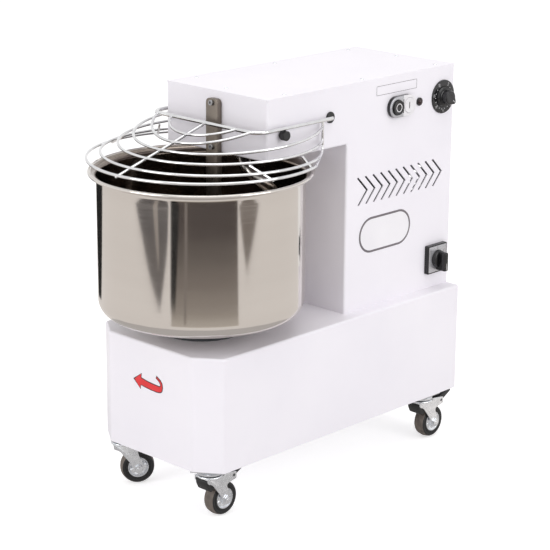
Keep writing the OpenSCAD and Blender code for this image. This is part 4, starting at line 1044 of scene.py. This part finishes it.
def figure(text, size, place, height, finish_number):
    """A plain number as thin raised strokes of this size, centred at a place on a face. It is
    returned as solids, one for each digit."""
    strokes = {
        "0": [(0.25, 0), (0.5, 0.25), (0.5, 0.75), (0.25, 1), (0, 0.75), (0, 0.25), (0.25, 0)],
        "1": [(0.05, 0.78), (0.3, 1), (0.3, 0)],
        "2": [(0, 0.8), (0.1, 1), (0.45, 1), (0.5, 0.7), (0, 0), (0.5, 0)],
        "3": [(0, 1), (0.5, 1), (0.22, 0.6), (0.5, 0.45), (0.45, 0.05), (0, 0)],
        "5": [(0.5, 1), (0.05, 1), (0, 0.58), (0.4, 0.6), (0.5, 0.25), (0.3, 0), (0, 0.05)],
    }
    width = 0.62 * len(text)
    made = []
    for index, character in enumerate(text):
        line = np.array(strokes[character])
        flat = (line + (0.68 * index - width / 2 + 0.03, -0.5)) * size + place
        path = np.column_stack([flat, np.full(len(flat), height)])
        made.append(solid(tube(path, size * 0.075, 6, (0, 0, 1), False), finish_number))
    return made


buttons_y = 0.3765
pitch = 0.016
unit_at = (right_x, axis_y + buttons_y, control_z)
unit_arc = np.radians(np.linspace(-90, 90, 33))
half_unit = np.concatenate([
    np.linspace((-0.016, -0.019), (0, -0.019), 12)[:-1],
    0.019 * np.stack([np.cos(unit_arc), np.sin(unit_arc)], 1),
    np.linspace((0, 0.019), (-0.016, 0.019), 12)[1:-1],
    np.linspace((-0.016, 0.019), (-0.016, -0.019), 40)[:-1],
])
well = [(0.0146, 0.009), (0.0140, 0.0085), (0.0138, 0.0080), (0.0138, 0.002), (0.0045, 0.002), (0.0045, 0.0)]
unit_solids = []
for side in (-1, 1):
    half = bored(half_unit, 0.0009, 0.009, well) * (side, 1, 1) + (side * pitch, 0, 0)
    unit_solids.append(solid(put(half, along_x, unit_at), 1 if side < 0 else 2, True))
unit_edge = line_round(stadium(0.0704, 0.0384), 0.0006, 0, 0.0066)
unit_solids.append(solid(put(unit_edge, along_x, unit_at), 0, True))
divider = filleted(rectangle(-0.0009, -0.0125, 0.0009, 0.0125), 0.0006)
unit_solids.append(solid(put(slab(divider, 0.0080, 0.0092, 0.0002), along_x, unit_at), 0))
piece(
    "button_unit", unit_solids, [gloss_black, silver_plastic, white_plastic],
    "frame", ["button_housing"],
)


def button_solids(side, proud, cap_finish):
    """A push button in the unit's frame: a dished cap with a rolled edge on its stem."""
    top, radius, foot = 0.009 + proud, 0.0135, 0.0062
    dish = 0.0009
    cap = [(0, foot), (radius - 0.0003, foot), (radius, foot + 0.0003)]
    cap += quarter(radius - 0.001, top - 0.001, 0.001, 0, 90, 6) + [(0.0115, top - 0.0003)]
    cap += [(r, top - dish * (1 - (r / 0.0118) ** 2)) for r in (0.009, 0.006, 0.003, 0.0)]
    stem = [(0, -0.008), (0.004, -0.008), (0.004, foot + 0.0001), (0, foot + 0.0001)]
    return [solid(turned(shape, 64) + (side * pitch, 0, 0), cap_finish) for shape in (cap, stem)]


ring_mark = [(0.0078, 0.0122), (0.0078, 0.01258), (0.0064, 0.01254), (0.0064, 0.0121)]
ring_mark = turned(ring_mark, 64) - (pitch, 0, 0)
piece(
    "stop_cap", placed(button_solids(-1, 0.004, 0) + [solid(ring_mark, 1, True)], along_x, unit_at),
    [gloss_black, white_plastic], "stop_body", ["stop_button"],
)
bar_mark = filleted(rectangle(-0.0008, -0.0062, 0.0008, 0.0062), 0.0006)
bar_mark = slab(bar_mark, 0.0088, 0.00945, 0.0001) + (pitch, 0, 0)
piece(
    "start_cap", placed(button_solids(1, 0.001, 0) + [solid(bar_mark, 1)], along_x, unit_at),
    [white_plastic, gloss_black], "start_body", ["start_button"],
)

lens_red = finish("lens_red", tone(34, 18, 20), tone(48, 22, 24), 0.08, 0.14, 300, 0.00001, patches=50.0)
lamp_at = (right_x, axis_y + 0.4295, control_z)
bezel = [
    (0, -0.002), (0.005, -0.002), (0.005, 0.0), (0.0075, 0.0), (0.0075, 0.0024), (0.0069, 0.0030),
    (0.0062, 0.0030), (0, 0.0026),
]
dome = [(0, 0.0026), (0.0058, 0.0026)] + quarter(0, 0.0, 0.0065, 27, 90, 10)
piece(
    "lamp_lens",
    placed([solid(turned(bezel, 56)), solid(turned(dome, 56), 1)], along_x, lamp_at),
    [gloss_black, lens_red], "frame", ["indicator_lamp"],
)

dial_low, dial_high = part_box("timer_dial")
dial_radius = (dial_high.y - dial_low.y) / 2
dial_at = (right_x, dial_low.y + dial_radius, control_z)
dial_turn = np.arange(96) * 2 * np.pi / 96
dial_outline = dial_radius * np.stack([np.cos(dial_turn), np.sin(dial_turn)], 1)
dial_plate = bored(dial_outline, 0.0006, 0.0029, [(0.0055, 0.0029), (0.005, 0.0026), (0.005, 0.0)])
dial_solids = [solid(put(dial_plate, along_x, dial_at), 0, True)]
for count in range(16):
    bearing = math.radians(60 - count * 20)
    dot_at = (dial_radius - 0.0082) * np.array([math.cos(bearing), math.sin(bearing)])
    dot = turned([(0, 0.0027), (0.0008, 0.0027), (0.0008, 0.00298), (0, 0.003)], 12) + (*dot_at, 0)
    dial_solids.append(solid(put(dot, along_x, dial_at), 1))
for count, text in enumerate(("0", "5", "10", "15", "20", "25", "30")):
    bearing = math.radians(60 - count * 50)
    number_at = (dial_radius - 0.0042) * np.array([math.cos(bearing), math.sin(bearing)])
    dial_solids += placed(figure(text, 0.0042, number_at, 0.0027, 1), along_x, dial_at)
piece("timer_face", dial_solids, [gloss_black, white_plastic], "frame", ["timer_dial"])

point_turn = math.radians(-40)


def teardrop(angle):
    """Multiplies a radius by 1 + 0.42 exp(-(d / 0.36)^2), with d the angle from the pointer."""
    away = (angle - point_turn + np.pi) % (2 * np.pi) - np.pi
    return (1 + 0.42 * np.exp(-((away / 0.36) ** 2)))[None, :]


grip = [(0.0150, 0.0068), (0.0150, 0.0085), (0.0138, 0.0092), (0.0128, 0.0185)]
grip += quarter(0.0112, 0.0192, 0.0016, 0, 90, 5) + [(0.006, 0.0205), (0, 0.0204)]
skirt = [(0, 0.0033), (0.0184, 0.0033), (0.019, 0.0038), (0.0172, 0.0070), (0.0160, 0.0074), (0, 0.0074)]
knob_solids = [
    solid(turned(skirt, 96)), solid(turned(grip, 128, teardrop)),
    solid(rod(0.003, -0.002, 0.006, 32)),
]
pointing = np.array([math.cos(point_turn), math.sin(point_turn)])
mark_path = np.column_stack([np.linspace(0.0085, 0.0150, 8)[:, None] * pointing, np.full(8, 0.0206)])
knob_solids.append(solid(tube(mark_path, 0.0005, 8, (0, 0, 1), False), 1))
piece(
    "timer_grip", placed(knob_solids, along_x, dial_at), [gloss_black, white_plastic],
    "timer_body", ["timer_knob"],
)

switch_at = (right_x, axis_y + 0.486, 0.353)
plate_side = 0.027
face_side = 0.0247
square = filleted(rectangle(-plate_side, -plate_side, plate_side, plate_side), 0.0022, 9)
plate_rows = bored(square, 0.0008, 0.0088, [(0.0065, 0.0088), (0.006, 0.0084), (0.006, 0.0)], 240)
face_outline = filleted(rectangle(-face_side, -face_side, face_side, face_side), 0.0016, 9)
face_plate = bored(face_outline, 0.0001, 0.0004, [(0.0068, 0.0004), (0.0068, 0.0)], 240) + (0, 0, 0.0086)
plate_solids = placed([solid(plate_rows, 0, True), solid(face_plate, 1, True)], along_x, switch_at)
for text, bearing in (("0", 90), ("1", 35), ("2", -35)):
    number_at = 0.0208 * np.array([math.cos(math.radians(bearing)), math.sin(math.radians(bearing))])
    plate_solids += placed(figure(text, 0.0046, number_at, 0.0088, 0), along_x, switch_at)
piece(
    "switch_face", plate_solids, [gloss_black, silver_plastic],
    "frame", ["speed_switch_plate"],
)

base = [(0, 0.0093), (0.0165, 0.0093), (0.017, 0.0098), (0.0155, 0.0156), (0.0145, 0.0163), (0, 0.0163)]
handle = filleted(rectangle(-0.005, -0.021, 0.005, 0.015), [0.0022, 0.0022, 0.005, 0.005], 9)
handle_rows = slab(handle, 0.0093, 0.0313, 0.0016, 4)
waist = 1 - 0.16 * np.exp(-((handle_rows[..., 1] / 0.007) ** 2)) * (handle_rows[..., 2] > 0.0165)
handle_rows[..., 0] *= waist
switch_solids = [
    solid(turned(base, 80)), solid(handle_rows),
    solid(rod(0.003, -0.002, 0.0095, 32)),
]
line_path = np.column_stack([np.zeros(8), np.linspace(-0.0185, -0.006, 8), np.full(8, 0.0312)])
switch_solids.append(solid(tube(line_path, 0.0005, 8, (1, 0, 0), False), 1))
piece(
    "speed_grip", placed(switch_solids, along_x, switch_at), [gloss_black, white_plastic],
    "speed_body", ["speed_knob"],
)

# ---------- Blank label and badge ----------
# Two printed stickers on the right side are left blank: a thin grey outline near the head's
# top, and a white oval badge with a grey border on the column.
label = filleted(rectangle(0.312, 0.684, 0.422, 0.701), 0.0022, 9)
label_line = put(line_round(label, 0.0007, 0.00002, 0.0002), along_x, (right_x, axis_y, 0))
piece("label_outline", [solid(label_line, 0, True)], [sticker_grey], "frame")
badge = stadium(0.1411, 0.066, 49) + ((0.2725 + 0.4136) / 2, (0.399 + 0.465) / 2)
piece(
    "oval_badge",
    [
        solid(put(slab(badge, 0, 0.0003, 0.00005, 1), along_x, (right_x, axis_y, 0))),
        solid(put(slab(inset(badge, 0.004), 0.0002, 0.00045, 0.00005, 1), along_x, (right_x, axis_y, 0)), 1),
    ],
    [sticker_grey, sticker_white], "frame",
)

# ---------- Cable gland ----------
# A moulded gland with a hexagon foot and a domed cap stands in the base's back, where a power
# cord would go through. No cord is fitted.
gland_back = axis_y + 0.530
gland_profile = [
    (0.0045, -0.011), (0.008, -0.011), (0.008, 0.0), (0.0108, 0.0), (0.0112, 0.0005), (0.0112, 0.0054),
    (0.0108, 0.0060), (0.0113, 0.0062), (0.0112, 0.0075), (0.0096, 0.0160), (0.0084, 0.0178),
    (0.0064, 0.0180), (0.0045, 0.0170),
]
gland = turned(gland_profile, 72, hexed([0, 0, 0, 1, 1, 1, 1, 0, 0, 0, 0, 0, 0]))
piece(
    "gland_body", [solid(put(gland, facing_back, (-0.105, gland_back, 0.152)), 0, True)], [black_plastic],
    "frame", ["cable_gland"],
)

low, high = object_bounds()
